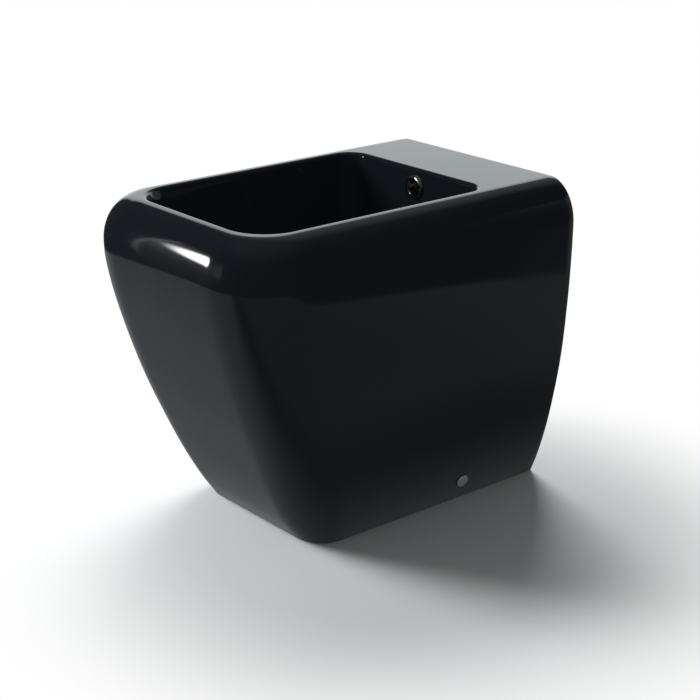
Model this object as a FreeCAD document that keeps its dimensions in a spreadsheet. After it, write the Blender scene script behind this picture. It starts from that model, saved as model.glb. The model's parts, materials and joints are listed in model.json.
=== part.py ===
# Floor-standing bidet, back to the wall: glazed body, waste, trap and hidden floor fixings.
# Millimetres, +Z up. The origin is on the floor, at the centre of the body's width and length.
# Inside the sketches Y is 0 at the wall and runs negative towards the front.
import FreeCAD, Part
import math
import os

import Sketcher
from FreeCAD import Placement, Rotation, Vector

document = FreeCAD.newDocument("bidet")
sheet = document.addObject("Spreadsheet::Sheet", "Sizes")

table = {
    # Outer form of the glazed body
    "overall_width": 360,
    "overall_length": 511,
    "overall_height": 416,
    "round_over": 54,
    "shoulder_land": 2,
    "crown_corner": 86,
    "foot_width": 244,
    "foot_length": 374,
    "foot_corner": 38.5,
    # Walls of the glazed body
    "skirt_wall": 11,
    "back_wall": 11,
    "deck_thickness": 12,
    "basin_wall": 11,
    "drain_floor": 9,
    "core_chamfer": 30,
    "back_opening_width": 184,
    "back_opening_height": 300,
    "back_opening_corner": 40,
    # Basin
    "rim_width": 50.5,
    "rim_front": 48,
    "deck_depth": 109,
    "opening_front_corner": 51,
    "opening_back_corner": 27.5,
    "rim_roll": 5.5,
    "floor_fall": 5,
    "fall_radius": 62,
    "side_draft": 18,
    "back_draft": 10,
    "front_draft": 50,
    "floor_round": 30,
    "shell_chamfer": 24,
    # Drain hole and overflow channel in the glaze
    "drain_setback": 240,
    "drain_hole": 46,
    "flange_recess": 68,
    "recess_depth": 4,
    "neck_width": 76,
    "neck_length": 44,
    "overflow_drop": 24,
    "overflow_hole": 22.4,
    "channel_width": 26,
    "channel_depth": 14,
    "channel_wall": 8,
    "channel_mouth": 14,
    "channel_fall": 22,
    # Overflow ring
    "ring_width": 32,
    "ring_bore": 19,
    "ring_thickness": 4,
    "ring_crest": 27.5,
    "ring_crest_bore": 23,
    "ring_lip": 1.2,
    "ring_sleeve_length": 13,
    # Waste body
    "waste_tube": 41.9,
    "waste_bore": 35,
    "waste_flange": 63,
    "waste_flange_thickness": 2.6,
    "waste_flange_edge": 0.8,
    "throat_width": 42,
    "throat_depth": 5,
    "slot_width": 10,
    "slot_height": 16,
    "bridge_drop": 42,
    "bridge_thickness": 5,
    "bridge_arm": 4,
    "bridge_hub": 17,
    # Seals, washer and nut that clamp the waste
    "top_seal_width": 58,
    "lower_seal_width": 64,
    "lower_seal_nose": 50,
    "lower_seal_thickness": 8,
    "lower_seal_band": 3,
    "clamp_washer_width": 62,
    "clamp_washer_thickness": 2,
    "backnut_flats": 54,
    "backnut_thickness": 10,
    # Push-down plug
    "plug_travel": 9,
    "plug_sink": 1.7,
    "plug_width": 39,
    "plug_edge": 2.4,
    "plug_bevel": 1.6,
    "plug_crown": 0.8,
    "plug_boss": 12,
    "plug_boss_drop": 5,
    "plug_seal_width": 36,
    "plug_seal_bore": 27,
    "plug_seal_thickness": 2.4,
    "stem_rod": 8,
    "stem_pin": 5,
    "stem_pin_length": 3,
    "piston_width": 10.4,
    "piston_height": 4,
    "latch_ring_thickness": 2,
    "guide_width": 15,
    "guide_bore": 10.5,
    "guide_height": 29,
    "guide_floor": 3,
    "guide_stub": 9.6,
    "guide_stub_length": 8,
    "guide_vent": 3,
    "gland_width": 17,
    "gland_skirt": 6,
    "gland_thickness": 4,
    "spring_width": 8.6,
    "spring_wire": 1,
    # Trap inlet
    "gasket_thickness": 3,
    "pipe_width": 32,
    "pipe_wall": 1.6,
    "pipe_flange": 40,
    "pipe_flange_thickness": 2.5,
    "inlet_nut_flats": 49,
    "inlet_nut_length": 23.5,
    "nut_lip": 4,
    "dip_gap": 12,
    # Trap bottle
    "bottle_width": 60,
    "bottle_wall": 3,
    "bottle_drop": 38,
    "outlet_drop": 24,
    "bottle_shoulder": 8,
    "bottle_joint_drop": 26,
    "bottle_thread": 12,
    "bottle_collar": 3,
    "bottle_neck": 42,
    "bottle_neck_length": 13,
    "cup_width": 66,
    "cup_floor_height": 20,
    "cup_base": 48,
    "cup_taper": 12,
    "cup_seal_thickness": 2,
    "cup_rib": 1.2,
    "cup_rib_width": 3,
    "cup_rib_height": 14,
    "cone_seal_thickness": 6,
    "cone_seal_band": 2,
    "cone_seal_nose": 37,
    "trap_nut_flats": 49,
    "trap_nut_length": 21,
    "spigot_width": 42,
    "spigot_length": 52,
    "pipe_insert": 26,
    "socket_depth": 60,
    "mark_width": 1,
    "mark_depth": 0.3,
    # Side fixings, one on each side of the foot
    "fixing_height": 29.7,
    "fixing_setback": 141.6,
    "fixing_hole": 13.6,
    "sleeve_width": 13,
    "sleeve_flange": 15.4,
    "sleeve_flange_thickness": 1.2,
    "screw_width": 6,
    "screw_seat": 1.7,
    "screw_head": 10,
    "screw_head_height": 2.8,
    "screw_overhang": 3,
    "hex_key": 4,
    "hex_key_depth": 1.6,
    "cap_width": 17,
    "cap_height": 2.9,
    "cap_cavity": 15.7,
    "cap_edge": 1.2,
    "wall_gap": 2.2,
    "bracket_thickness": 4,
    "bracket_length": 46,
    "bracket_foot": 40,
    "bracket_ear": 16,
    "bracket_corner": 8,
    "anchor_hole": 9,
    "weld_nut_flats": 13,
    "weld_nut_thickness": 5,
    # Clearances shared by every fit
    "seat_gap": 0.3,
    "thread_gap": 0.2,
    "running_gap": 0.05,
    "overrun": 5,
}

# Levels of the flare between the foot and the shoulder. The second level is at the side fixing.
height_shares = [0, None, 0.197, 0.338, 0.507, 0.704, 0.873, 1]
side_shares = [0, 0.203, 0.426, 0.629, 0.811, 0.926, 0.984, 1]
front_shares = [0, 0.157, 0.320, 0.485, 0.665, 0.836, 0.955, 1]
corner_shares = [0, 0.356, 0.578, 0.737, 0.867, 0.944, 0.988, 1]
fixing_level = 1
core_levels = [0, 2, 4, 7]
bevel_share = 0.293

# The basin's depth and the waste's length as parts of the height. The trap hangs from the waste.
basin_share = 5 / 13
waste_share = 3 / 13

# How near a length must be to count as the same when edges are picked
slack = 0.001

full_turn = 360
slot_pairs = 2
cup_rib_count = 16
spring_turns = 5
hexagon_sides = 6

for row, (name, number) in enumerate(table.items(), 1):
    cell = "A%d" % row
    sheet.set(cell, str(number))
    sheet.setAlias(cell, name)
document.recompute()


class Size:
    # A number with the formula that gives it, so that a size stays bound to the sheet.
    def __init__(self, number, formula):
        self.number = number
        self.formula = formula

    def __add__(self, other):
        other = sized(other)
        return Size(self.number + other.number, "(%s + %s)" % (self.formula, other.formula))

    def __sub__(self, other):
        other = sized(other)
        return Size(self.number - other.number, "(%s - %s)" % (self.formula, other.formula))

    def __mul__(self, other):
        other = sized(other)
        return Size(self.number * other.number, "(%s * %s)" % (self.formula, other.formula))

    def __truediv__(self, other):
        other = sized(other)
        return Size(self.number / other.number, "(%s / %s)" % (self.formula, other.formula))

    def __radd__(self, other):
        return sized(other) + self

    def __rsub__(self, other):
        return sized(other) - self

    def __rmul__(self, other):
        return sized(other) * self

    def __neg__(self):
        return Size(-self.number, "(-%s)" % self.formula)


def sized(value):
    return value if isinstance(value, Size) else Size(value, repr(value))


def angle_of(slope):
    return Size(math.degrees(math.atan(slope.number)), "atan(%s)" % slope.formula)


def cosine(angle):
    return Size(math.cos(math.radians(angle.number)), "cos(%s)" % angle.formula)


def sine(angle):
    return Size(math.sin(math.radians(angle.number)), "sin(%s)" % angle.formula)


quarter_turn = Size(90, "90 deg")
half_turn = Size(180, "180 deg")


class Sizes:
    def __getattr__(self, name):
        return Size(float(table[name]), "Sizes." + name)


s = Sizes()
kept = {}


def bind(thing, path, value):
    thing.setExpression(path, sized(value).formula)


def keep(*pieces):
    for piece in pieces:
        kept[piece.Label] = piece


def new_body(label):
    body = document.addObject("PartDesign::Body", label)
    body.Label = label
    return body


def place(thing, x=0, y=0, z=0, axis=None, angle=None):
    # Every piece moves back by half the length, from the wall to the origin of the part.
    if axis is not None:
        thing.Placement = Placement(Vector(), Rotation(axis, sized(angle).number))
        if isinstance(angle, Size):
            bind(thing, "Placement.Rotation.Angle", angle)
    bind(thing, "Placement.Base.x", x)
    bind(thing, "Placement.Base.y", y + s.overall_length / 2)
    bind(thing, "Placement.Base.z", z)


def place_on_drain(thing, y=0, z=0, angle=None):
    # On the axis of the waste, or off it towards the wall by y, tipped about the X axis
    place(thing, y=y - s.drain_setback, z=z, axis=angle and Vector(1, 0, 0), angle=angle)
    return thing


def sketch_on(body, name, plane, offset=0):
    sketch = body.newObject("Sketcher::SketchObject", name)
    base = next(item for item in body.Origin.OriginFeatures if item.Role == plane)
    sketch.AttachmentSupport = (base, [""])
    sketch.MapMode = "FlatFace"
    bind(sketch, "AttachmentOffset.Base.z", offset)
    return sketch


def pin_point(sketch, geometry, end, point):
    for kind, axis, value in (("DistanceX", -2, point[0]), ("DistanceY", -1, point[1])):
        if isinstance(value, Size):
            index = sketch.addConstraint(
                Sketcher.Constraint(kind, -1, 1, geometry, end, value.number)
            )
            bind(sketch, "Constraints[%d]" % index, value)
        else:
            sketch.addConstraint(Sketcher.Constraint("PointOnObject", geometry, end, axis))


def outline(sketch, points):
    # A closed outline. A third entry on a point makes the stretch that arrives there an arc of
    # that radius, bulging to the right of the direction of travel.
    count = len(points)
    flat = [Vector(sized(p[0]).number, sized(p[1]).number) for p in points]
    first = None
    for index in range(count):
        start = flat[index]
        finish = flat[(index + 1) % count]
        target = points[(index + 1) % count]
        if len(target) == 3:
            radius = target[2].number
            chord = finish - start
            across = Vector(-chord.y, chord.x).normalize()
            reach = math.sqrt(max(radius**2 - (chord.Length / 2) ** 2, 0))
            middle = (start + finish) / 2 + across * (reach - radius)
            geometry = sketch.addGeometry(Part.Arc(start, middle, finish))
            drawn = sketch.Geometry[geometry]
            forward = (drawn.StartPoint - start).Length < (drawn.EndPoint - start).Length
        else:
            geometry = sketch.addGeometry(Part.LineSegment(start, finish))
            forward = True
        ends = (1, 2) if forward else (2, 1)
        pin_point(sketch, geometry, ends[0], points[index])
        if len(target) == 3:
            mark = sketch.addConstraint(Sketcher.Constraint("Radius", geometry, radius))
            bind(sketch, "Constraints[%d]" % mark, target[2])
        if first is None:
            first = (geometry, ends[0])
        else:
            sketch.addConstraint(
                Sketcher.Constraint("Coincident", previous[0], previous[1], geometry, ends[0])
            )
        previous = (geometry, ends[1])
    sketch.addConstraint(
        Sketcher.Constraint("Coincident", previous[0], previous[1], first[0], first[1])
    )
    return sketch


def circle(sketch, x, y, radius):
    centre = Vector(sized(x).number, sized(y).number)
    geometry = sketch.addGeometry(Part.Circle(centre, Vector(0, 0, 1), radius.number))
    pin_point(sketch, geometry, 3, (x, y))
    mark = sketch.addConstraint(Sketcher.Constraint("Radius", geometry, radius.number))
    bind(sketch, "Constraints[%d]" % mark, radius)
    return sketch


def box_outline(sketch, left, right, low, high):
    return outline(sketch, [(left, low), (right, low), (right, high), (left, high)])


def pad(body, sketch, length, midplane=False, reverse=False, cut=False):
    kind = "PartDesign::Pocket" if cut else "PartDesign::Pad"
    feature = body.newObject(kind, sketch.Name + ("_cut" if cut else "_pad"))
    feature.Profile = sketch
    feature.Reversed = reverse
    if midplane:
        feature.SideType = "Symmetric"
    bind(feature, "Length", length)
    return feature


def turn(body, points, cut=False):
    # A profile of radius and height turned about the body's own Z axis
    kind = "PartDesign::Groove" if cut else "PartDesign::Revolution"
    sketch = sketch_on(body, body.Label + ("_groove" if cut else "_profile"), "XZ_Plane")
    outline(sketch, points)
    feature = body.newObject(kind, sketch.Name + "_turn")
    feature.Profile = sketch
    feature.ReferenceAxis = (sketch, ["V_Axis"])
    feature.Angle = full_turn
    return feature


def turned_piece(label, points):
    body = new_body(label)
    turn(body, points)
    return body


def ring(label, bore, radius, low, high):
    return turned_piece(label, [(bore, low), (radius, low), (radius, high), (bore, high)])


def hexagon(sketch, flats, x=0, y=0):
    # A hexagon about a point, by its width across the flats
    reach = flats / math.sqrt(3)
    points = []
    for side in range(hexagon_sides):
        angle = math.radians(side * full_turn / hexagon_sides)
        place_shares = (math.cos(angle), math.sin(angle))
        steps = [reach * share if abs(share) > slack else 0 for share in place_shares]
        points.append((x + steps[0], y + steps[1]))
    return outline(sketch, points)


def pattern(body, feature, count, angle=full_turn):
    copies = body.newObject("PartDesign::PolarPattern", feature.Name + "_round")
    copies.Originals = [feature]
    line = next(item for item in body.Origin.OriginFeatures if item.Role == "Z_Axis")
    copies.Axis = (line, [""])
    copies.Angle = angle
    copies.Occurrences = count
    body.Tip = copies
    return copies


def round_edges(body, radius, chosen, kind="PartDesign::Fillet"):
    # Rounds or chamfers the edges of the finished body that the test picks.
    document.recompute()
    tip = body.Tip
    names = ["Edge%d" % n for n, edge in enumerate(tip.Shape.Edges, 1) if chosen(edge)]
    feature = body.newObject(kind, tip.Name + "_edges")
    feature.Base = (tip, names)
    bind(feature, "Radius" if kind.endswith("Fillet") else "Size", radius)
    body.Tip = feature
    return feature


def join(kind, name, things):
    feature = document.addObject(kind, name)
    if kind == "Part::Cut":
        feature.Base, feature.Tool = things
    else:
        feature.Shapes = things
    return feature


def cylinder(name, radius, height):
    feature = document.addObject("Part::Cylinder", name)
    bind(feature, "Radius", radius)
    bind(feature, "Height", height)
    return feature


def mirrored_form(name, source):
    feature = document.addObject("Part::Mirroring", name)
    feature.Source = source
    feature.Normal = Vector(1, 0, 0)
    return feature


# Levels that several pieces share
half_width = s.overall_width / 2
shoulder = s.overall_height - s.round_over - s.shoulder_land
drain_level = s.overall_height - s.overall_height * basin_share
bowl_floor = drain_level + s.floor_fall
neck_end = drain_level - s.neck_length
side_flare = (s.overall_width - s.foot_width) / 2
front_flare = s.overall_length - s.foot_length


def level(index):
    share = height_shares[index]
    return s.fixing_height if share is None else shoulder * share


def half_width_at(index):
    return s.foot_width / 2 + side_flare * side_shares[index]


fixing_tilt = angle_of(
    (half_width_at(fixing_level + 1) - half_width_at(fixing_level - 1))
    / (level(fixing_level + 1) - level(fixing_level - 1))
)


# Glazed body: the tapering form, drawn in from its outside by a given wall
def rounded_plan(half, back, front, corner):
    return [
        (-half, -back),
        (-half, corner - front),
        (corner - half, -front, corner),
        (half - corner, -front),
        (half, corner - front, corner),
        (half, -back),
    ]


def bevelled_plan(half, back, front, corner):
    # Two flats stand for each rounded corner. They are only seen from inside the body.
    near = corner * bevel_share
    return [
        (-half, -back),
        (-half, corner - front),
        (near - half, near - front),
        (corner - half, -front),
        (half - corner, -front),
        (half - near, near - front),
        (half, corner - front),
        (half, -back),
    ]


def tapered_form(label, wall, back, top, levels, plan):
    body = new_body(label)
    sections = []
    for index in levels:
        sketch = sketch_on(body, "%s_plan_%d" % (label, index), "XY_Plane", level(index))
        corner = s.foot_corner + (s.crown_corner - s.foot_corner) * corner_shares[index] - wall
        front = s.foot_length + front_flare * front_shares[index] - wall
        half = half_width_at(index) - wall
        outline(sketch, plan(half, back, front, corner))
        sections.append(sketch)
    loft = body.newObject("PartDesign::AdditiveLoft", label + "_flare")
    loft.Profile = sections[0]
    loft.Sections = sections[1:]
    loft.Ruled = plan is bevelled_plan
    pad(body, sections[-1], top - shoulder)
    place(body)
    return body, sections


def crown_edges(top, back):
    # The edges round the top of the form, without the one along the back
    height = sized(top).number - slack
    rear = -sized(back).number - slack

    def chosen(edge):
        box = edge.BoundBox
        return box.ZMin > height and box.YMin < rear

    return chosen


def outer_form():
    every_level = range(len(height_shares))
    body, sections = tapered_form(
        "outer_form", sized(0), sized(0), s.overall_height, every_level, rounded_plan
    )
    round_edges(body, s.round_over, crown_edges(s.overall_height, 0))
    return body


def core_form():
    top = s.overall_height - s.deck_thickness
    body, sections = tapered_form(
        "core_form", s.skirt_wall, s.back_wall, top, core_levels, bevelled_plan
    )
    pad(body, sections[0], s.overrun, reverse=True)
    round_edges(body, s.core_chamfer, crown_edges(top, s.back_wall), "PartDesign::Chamfer")
    return body


def bowl_form(label, grow, top, floor):
    # The basin: a wedge with its own draft on each wall. The body's own Y is the height here,
    # and its own Z is the distance from the wall.
    body = new_body(label)
    wedge = body.newObject("PartDesign::AdditiveWedge", label + "_wedge")
    half = half_width - s.rim_width + grow
    back = s.deck_depth - grow
    front = s.overall_length - s.rim_front + grow
    extents = {
        "Xmax": half - s.side_draft,
        "Xmin": s.side_draft - half,
        "X2max": half,
        "X2min": -half,
        "Ymax": top,
        "Ymin": floor,
        "Zmax": front - s.front_draft,
        "Zmin": back + s.back_draft,
        "Z2max": front,
        "Z2min": back,
    }
    for name, value in extents.items():
        setattr(wedge, name, value.number)
        bind(wedge, name, value)
    place(body, axis=Vector(1, 0, 0), angle=quarter_turn)
    return body


def bowl_hollow():
    top = s.overall_height
    body = bowl_form("bowl_hollow", sized(0), top, bowl_floor)
    half_height = (top - bowl_floor).number / 2
    middle = (s.deck_depth + s.overall_length).number / 2

    def upright(edge):
        return edge.BoundBox.YLength > half_height

    round_edges(
        body, s.opening_front_corner, lambda e: upright(e) and e.BoundBox.ZMin > middle
    )
    round_edges(
        body, s.opening_back_corner, lambda e: upright(e) and e.BoundBox.ZMax < middle
    )
    round_edges(body, s.floor_round, lambda e: e.BoundBox.YMax < bowl_floor.number + slack)
    return body


def bowl_shell():
    top = s.overall_height - s.deck_thickness / 2
    body = bowl_form("bowl_shell", s.basin_wall, top, drain_level - s.drain_floor)
    below_top = top.number - slack
    round_edges(
        body, s.shell_chamfer, lambda e: e.BoundBox.YMin < below_top, "PartDesign::Chamfer"
    )
    return body


# Glazed body: the opening in the back that the pipes reach through
def back_opening():
    body = new_body("back_opening")
    sketch = sketch_on(body, "back_opening_outline", "XZ_Plane", -s.overrun)
    half = s.back_opening_width / 2
    corner = s.back_opening_corner
    outline(sketch, [
        (-half, -s.overrun),
        (half, -s.overrun),
        (half, s.back_opening_height - corner),
        (half - corner, s.back_opening_height, corner),
        (corner - half, s.back_opening_height),
        (-half, s.back_opening_height - corner, corner),
    ])
    pad(body, sketch, s.back_wall + 2 * s.overrun)
    place(body)
    return body


# Glazed body: the cast channel that takes water from the overflow to the drain neck
channel_front = s.basin_wall - s.deck_depth
channel_back = channel_front + s.channel_depth
mouth_low = neck_end + s.channel_wall
mouth_high = mouth_low + s.channel_mouth


def channel_form(label, points, width):
    body = new_body(label)
    sketch = sketch_on(body, label + "_outline", "YZ_Plane")
    outline(sketch, points)
    pad(body, sketch, width, midplane=True)
    place(body)
    return body


def channel_hollow():
    top = s.overall_height - s.deck_thickness
    end = s.drain_hole / 4 - s.drain_setback
    return channel_form("channel_hollow", [
        (end, mouth_low),
        (channel_back, mouth_low + s.channel_fall),
        (channel_back, top),
        (channel_front, top),
        (channel_front, mouth_high + s.channel_fall),
        (end, mouth_high),
    ], s.channel_width)


def channel_housing():
    top = s.overall_height - s.deck_thickness / 2
    wall = s.channel_wall
    return channel_form("channel_housing", [
        (-s.drain_setback, neck_end),
        (channel_back + wall, neck_end + s.channel_fall),
        (channel_back + wall, top),
        (channel_front - wall, top),
        (channel_front - wall, mouth_high + s.channel_fall + wall),
        (-s.drain_setback, drain_level - s.drain_floor / 2),
    ], s.channel_width + 2 * wall)


# Glazed body: round holes, each a cylinder set from the surface that it enters
wall_lean = angle_of(s.back_draft / (s.overall_height - bowl_floor))
overflow_level = s.overall_height - s.overflow_drop
overflow_y = -(s.deck_depth + s.back_draft * s.overflow_drop / (s.overall_height - bowl_floor))


def overflow_bore():
    hole = cylinder(
        "overflow_bore", s.overflow_hole / 2, s.overrun + s.basin_wall + s.channel_depth / 2
    )
    place(
        hole,
        y=overflow_y - s.overrun * cosine(wall_lean),
        z=overflow_level + s.overrun * sine(wall_lean),
        axis=Vector(1, 0, 0),
        angle=-(quarter_turn + wall_lean),
    )
    return hole


def from_fixing(distance):
    # The place at a distance out from the skirt's surface, along the axis of the side fixing
    across = half_width_at(fixing_level) + distance * cosine(fixing_tilt)
    return across, s.fixing_height - distance * sine(fixing_tilt)


def on_fixing(thing, distance=0):
    across, height = from_fixing(distance)
    place(
        thing,
        x=across,
        y=-s.fixing_setback,
        z=height,
        axis=Vector(0, 1, 0),
        angle=quarter_turn + fixing_tilt,
    )
    return thing


def drain_cylinder(name, radius, low, high):
    hole = cylinder(name, radius, high - low)
    place(hole, y=-s.drain_setback, z=low)
    return hole


def ceramic_body():
    skirt = join("Part::Cut", "skirt", (outer_form(), core_form()))
    open_skirt = join("Part::Cut", "open_skirt", (skirt, back_opening()))
    neck = drain_cylinder("neck", s.neck_width / 2, neck_end, drain_level - s.drain_floor / 2)
    solid = join("Part::MultiFuse", "solid", [open_skirt, bowl_shell(), neck, channel_housing()])

    fall = turned_piece("fall_to_drain", [
        (0, drain_level),
        (s.fall_radius, bowl_floor),
        (0, bowl_floor),
    ])
    place_on_drain(fall)
    seat = drain_level - s.recess_depth
    bore = drain_cylinder("drain_bore", s.drain_hole / 2, neck_end - s.overrun, drain_level)
    recess = drain_cylinder("drain_recess", s.flange_recess / 2, seat, bowl_floor + s.overrun)
    side_hole = on_fixing(
        cylinder("side_hole", s.fixing_hole / 2, s.skirt_wall + 2 * s.overrun),
        -(s.skirt_wall + s.overrun),
    )
    other_hole = mirrored_form("other_side_hole", side_hole)
    hollow = join("Part::MultiFuse", "hollow", [
        bowl_hollow(), fall, bore, recess, channel_hollow(), overflow_bore(), side_hole, other_hole,
    ])
    body = new_body("ceramic_body")
    body.BaseFeature = join("Part::Cut", "cast", (solid, hollow))

    rim_half = (half_width - s.rim_width).number + slack
    rim_front = (s.overall_length / 2 - s.rim_front).number + slack
    rim_back = (s.overall_length / 2 - s.deck_depth).number + slack
    rim_level = (s.overall_height - s.deck_thickness).number

    def on_rim(edge):
        box = edge.BoundBox
        inside = max(box.XMax, -box.XMin) < rim_half and box.YMin > -rim_front
        return inside and box.YMax < rim_back and box.ZMin > rim_level

    round_edges(body, s.rim_roll, on_rim)
    keep(body)


# Overflow ring: a chromed bead round the hole in the back wall of the basin
def overflow_ring():
    sleeve = s.overflow_hole / 2 - s.thread_gap
    body = turned_piece("overflow_ring", [
        (s.ring_bore / 2, -s.ring_sleeve_length),
        (sleeve, -s.ring_sleeve_length),
        (sleeve, 0),
        (s.ring_width / 2, 0),
        (s.ring_width / 2, s.ring_lip),
        (s.ring_crest / 2, s.ring_thickness),
        (s.ring_crest_bore / 2, s.ring_thickness),
        (s.ring_bore / 2, s.ring_lip),
    ])
    place(
        body,
        y=overflow_y,
        z=overflow_level,
        axis=Vector(1, 0, 0),
        angle=quarter_turn - wall_lean,
    )
    keep(body)


# Waste: levels down its axis
seat_level = drain_level - s.recess_depth
flange_low = drain_level - s.waste_flange_thickness
throat_low = drain_level - s.throat_depth
waste_end = drain_level - s.overall_height * waste_share
bridge_top = drain_level - s.bridge_drop
bridge_low = bridge_top - s.bridge_thickness
seal_low = neck_end - s.lower_seal_thickness
washer_low = seal_low - s.clamp_washer_thickness
backnut_low = washer_low - s.backnut_thickness
waste_thread = s.waste_tube / 2 + s.thread_gap


# Waste: the threaded tube with its overflow slots and the bridge that holds the plug's guide
def waste_body():
    body = new_body("waste_body")
    turn(body, [
        (s.waste_bore / 2, waste_end),
        (s.waste_tube / 2, waste_end),
        (s.waste_tube / 2, flange_low),
        (s.waste_flange / 2, flange_low),
        (s.waste_flange / 2, drain_level - s.waste_flange_edge),
        (s.waste_flange / 2 - s.waste_flange_edge, drain_level),
        (s.throat_width / 2, drain_level),
        (s.waste_bore / 2, throat_low),
    ])
    slot = sketch_on(body, "overflow_slots", "XZ_Plane")
    middle = (mouth_low + mouth_high) / 2
    box_outline(
        slot,
        -s.slot_width / 2,
        s.slot_width / 2,
        middle - s.slot_height / 2,
        middle + s.slot_height / 2,
    )
    slots = pad(body, slot, s.waste_tube + s.overrun, midplane=True, cut=True)
    pattern(body, slots, slot_pairs, quarter_turn.number)

    reach = (s.waste_bore + s.waste_tube) / 4
    arm = sketch_on(body, "bridge_arm", "XY_Plane", bridge_low)
    box_outline(arm, -reach, reach, -s.bridge_arm / 2, s.bridge_arm / 2)
    arms = pad(body, arm, s.bridge_thickness)
    pattern(body, arms, slot_pairs, quarter_turn.number)
    hub = sketch_on(body, "bridge_hub", "XY_Plane", bridge_low)
    circle(hub, 0, 0, s.bridge_hub / 2)
    pad(body, hub, s.bridge_thickness)
    hole = sketch_on(body, "bridge_hole", "XY_Plane", bridge_top)
    circle(hole, 0, 0, s.guide_stub / 2 + s.thread_gap)
    pad(body, hole, s.bridge_thickness, cut=True)
    keep(place_on_drain(body))


def waste_clamp():
    lower_seal = turned_piece("waste_lower_seal", [
        (waste_thread, seal_low),
        (s.lower_seal_width / 2, seal_low),
        (s.lower_seal_width / 2, seal_low + s.lower_seal_band),
        (s.lower_seal_nose / 2, neck_end),
        (waste_thread, neck_end),
    ])
    backnut = new_body("backnut")
    sketch = sketch_on(backnut, "backnut_outline", "XY_Plane", backnut_low)
    hexagon(sketch, s.backnut_flats)
    circle(sketch, 0, 0, waste_thread)
    pad(backnut, sketch, s.backnut_thickness)
    pieces = [
        ring("waste_top_seal", waste_thread, s.top_seal_width / 2, seat_level, flange_low),
        lower_seal,
        ring("clamp_washer", waste_thread, s.clamp_washer_width / 2, washer_low, seal_low),
        backnut,
    ]
    keep(*[place_on_drain(piece) for piece in pieces])


# Plug: it rests up, and a push moves it down until its seal meets the throat
guide_top = bridge_top + s.guide_height
guide_floor_top = bridge_top + s.guide_floor
plug_low = drain_level - s.plug_sink + s.plug_travel
piston_top = guide_top - s.running_gap
piston_low = piston_top - s.piston_height
latch_low = piston_low - s.latch_ring_thickness


def plug():
    boss_low = plug_low - s.plug_boss_drop
    bevel_top = plug_low + s.plug_edge + s.plug_bevel
    rim = s.plug_width / 2
    socket = s.stem_rod / 2 + s.running_gap
    plug_cap = turned_piece("plug_cap", [
        (socket, boss_low),
        (s.plug_boss / 2, boss_low),
        (s.plug_boss / 2, plug_low),
        (rim, plug_low),
        (rim, plug_low + s.plug_edge),
        (rim - s.plug_bevel, bevel_top),
        (0, bevel_top + s.plug_crown),
        (0, plug_low),
        (socket, plug_low),
    ])
    plug_seal = ring(
        "plug_seal",
        s.plug_seal_bore / 2,
        s.plug_seal_width / 2,
        plug_low - s.plug_seal_thickness,
        plug_low,
    )
    plug_stem = turned_piece("plug_stem", [
        (0, piston_low - s.stem_pin_length),
        (s.stem_pin / 2, piston_low - s.stem_pin_length),
        (s.stem_pin / 2, piston_low),
        (s.piston_width / 2, piston_low),
        (s.piston_width / 2, piston_top),
        (s.stem_rod / 2, piston_top),
        (s.stem_rod / 2, plug_low),
        (0, plug_low),
    ])
    latch_ring = ring(
        "plug_latch_ring",
        s.stem_pin / 2 + s.running_gap,
        s.piston_width / 2 - s.running_gap,
        latch_low,
        piston_low,
    )
    keep(*[place_on_drain(piece) for piece in (plug_cap, plug_seal, plug_stem, latch_ring)])


def plug_guide():
    stub_low = bridge_top - s.guide_stub_length
    guide = turned_piece("plug_guide", [
        (s.guide_vent / 2, stub_low),
        (s.guide_stub / 2, stub_low),
        (s.guide_stub / 2, bridge_top),
        (s.guide_width / 2, bridge_top),
        (s.guide_width / 2, guide_top),
        (s.guide_bore / 2, guide_top),
        (s.guide_bore / 2, guide_floor_top),
        (s.guide_vent / 2, guide_floor_top),
    ])
    hole = s.stem_rod / 2 + s.running_gap
    over_guide = s.guide_width / 2 + s.thread_gap
    gland = turned_piece("plug_gland", [
        (over_guide, guide_top - s.gland_skirt),
        (s.gland_width / 2, guide_top - s.gland_skirt),
        (s.gland_width / 2, guide_top + s.gland_thickness),
        (hole, guide_top + s.gland_thickness),
        (hole, guide_top),
        (over_guide, guide_top),
    ])
    keep(place_on_drain(guide), place_on_drain(gland))


# Plug: the spring between the guide's floor and the latch ring, of wire with six flats
def plug_spring():
    body = new_body("plug_spring")
    section = sketch_on(body, "wire_section", "XZ_Plane")
    hexagon(
        section,
        s.spring_wire,
        (s.spring_width - s.spring_wire) / 2,
        guide_floor_top + s.spring_wire / 2,
    )
    coil = body.newObject("PartDesign::AdditiveHelix", "spring_coil")
    coil.Profile = section
    coil.ReferenceAxis = (section, ["V_Axis"])
    coil.Mode = "height-turns-angle"
    coil.Turns = spring_turns
    bind(coil, "Height", latch_low - guide_floor_top - s.spring_wire)
    keep(place_on_drain(body))


# Trap: the nuts and seals share one form, drawn from the outer face of the lip inwards
pipe_radius = s.pipe_width / 2
pipe_bore = pipe_radius - s.pipe_wall
lip_bore = pipe_radius + s.seat_gap
pipe_top = waste_end - s.gasket_thickness
bottle_top = waste_end - s.bottle_drop
neck_top = bottle_top + s.bottle_neck_length
outlet_level = bottle_top - s.outlet_drop
bottle_joint = outlet_level - s.bottle_joint_drop
cup_top = bottle_joint - s.cup_seal_thickness
cup_bore = s.cup_width / 2 - s.bottle_wall


def slip_nut(label, flats, length, thread):
    body = new_body(label)
    sketch = sketch_on(body, label + "_outline", "XY_Plane")
    hexagon(sketch, flats)
    pad(body, sketch, length)
    bore = thread / 2 + s.thread_gap
    turn(body, [
        (0, -s.overrun),
        (lip_bore, -s.overrun),
        (lip_bore, s.nut_lip),
        (bore, s.nut_lip),
        (bore, length + s.overrun),
        (0, length + s.overrun),
    ], cut=True)
    return body


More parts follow.
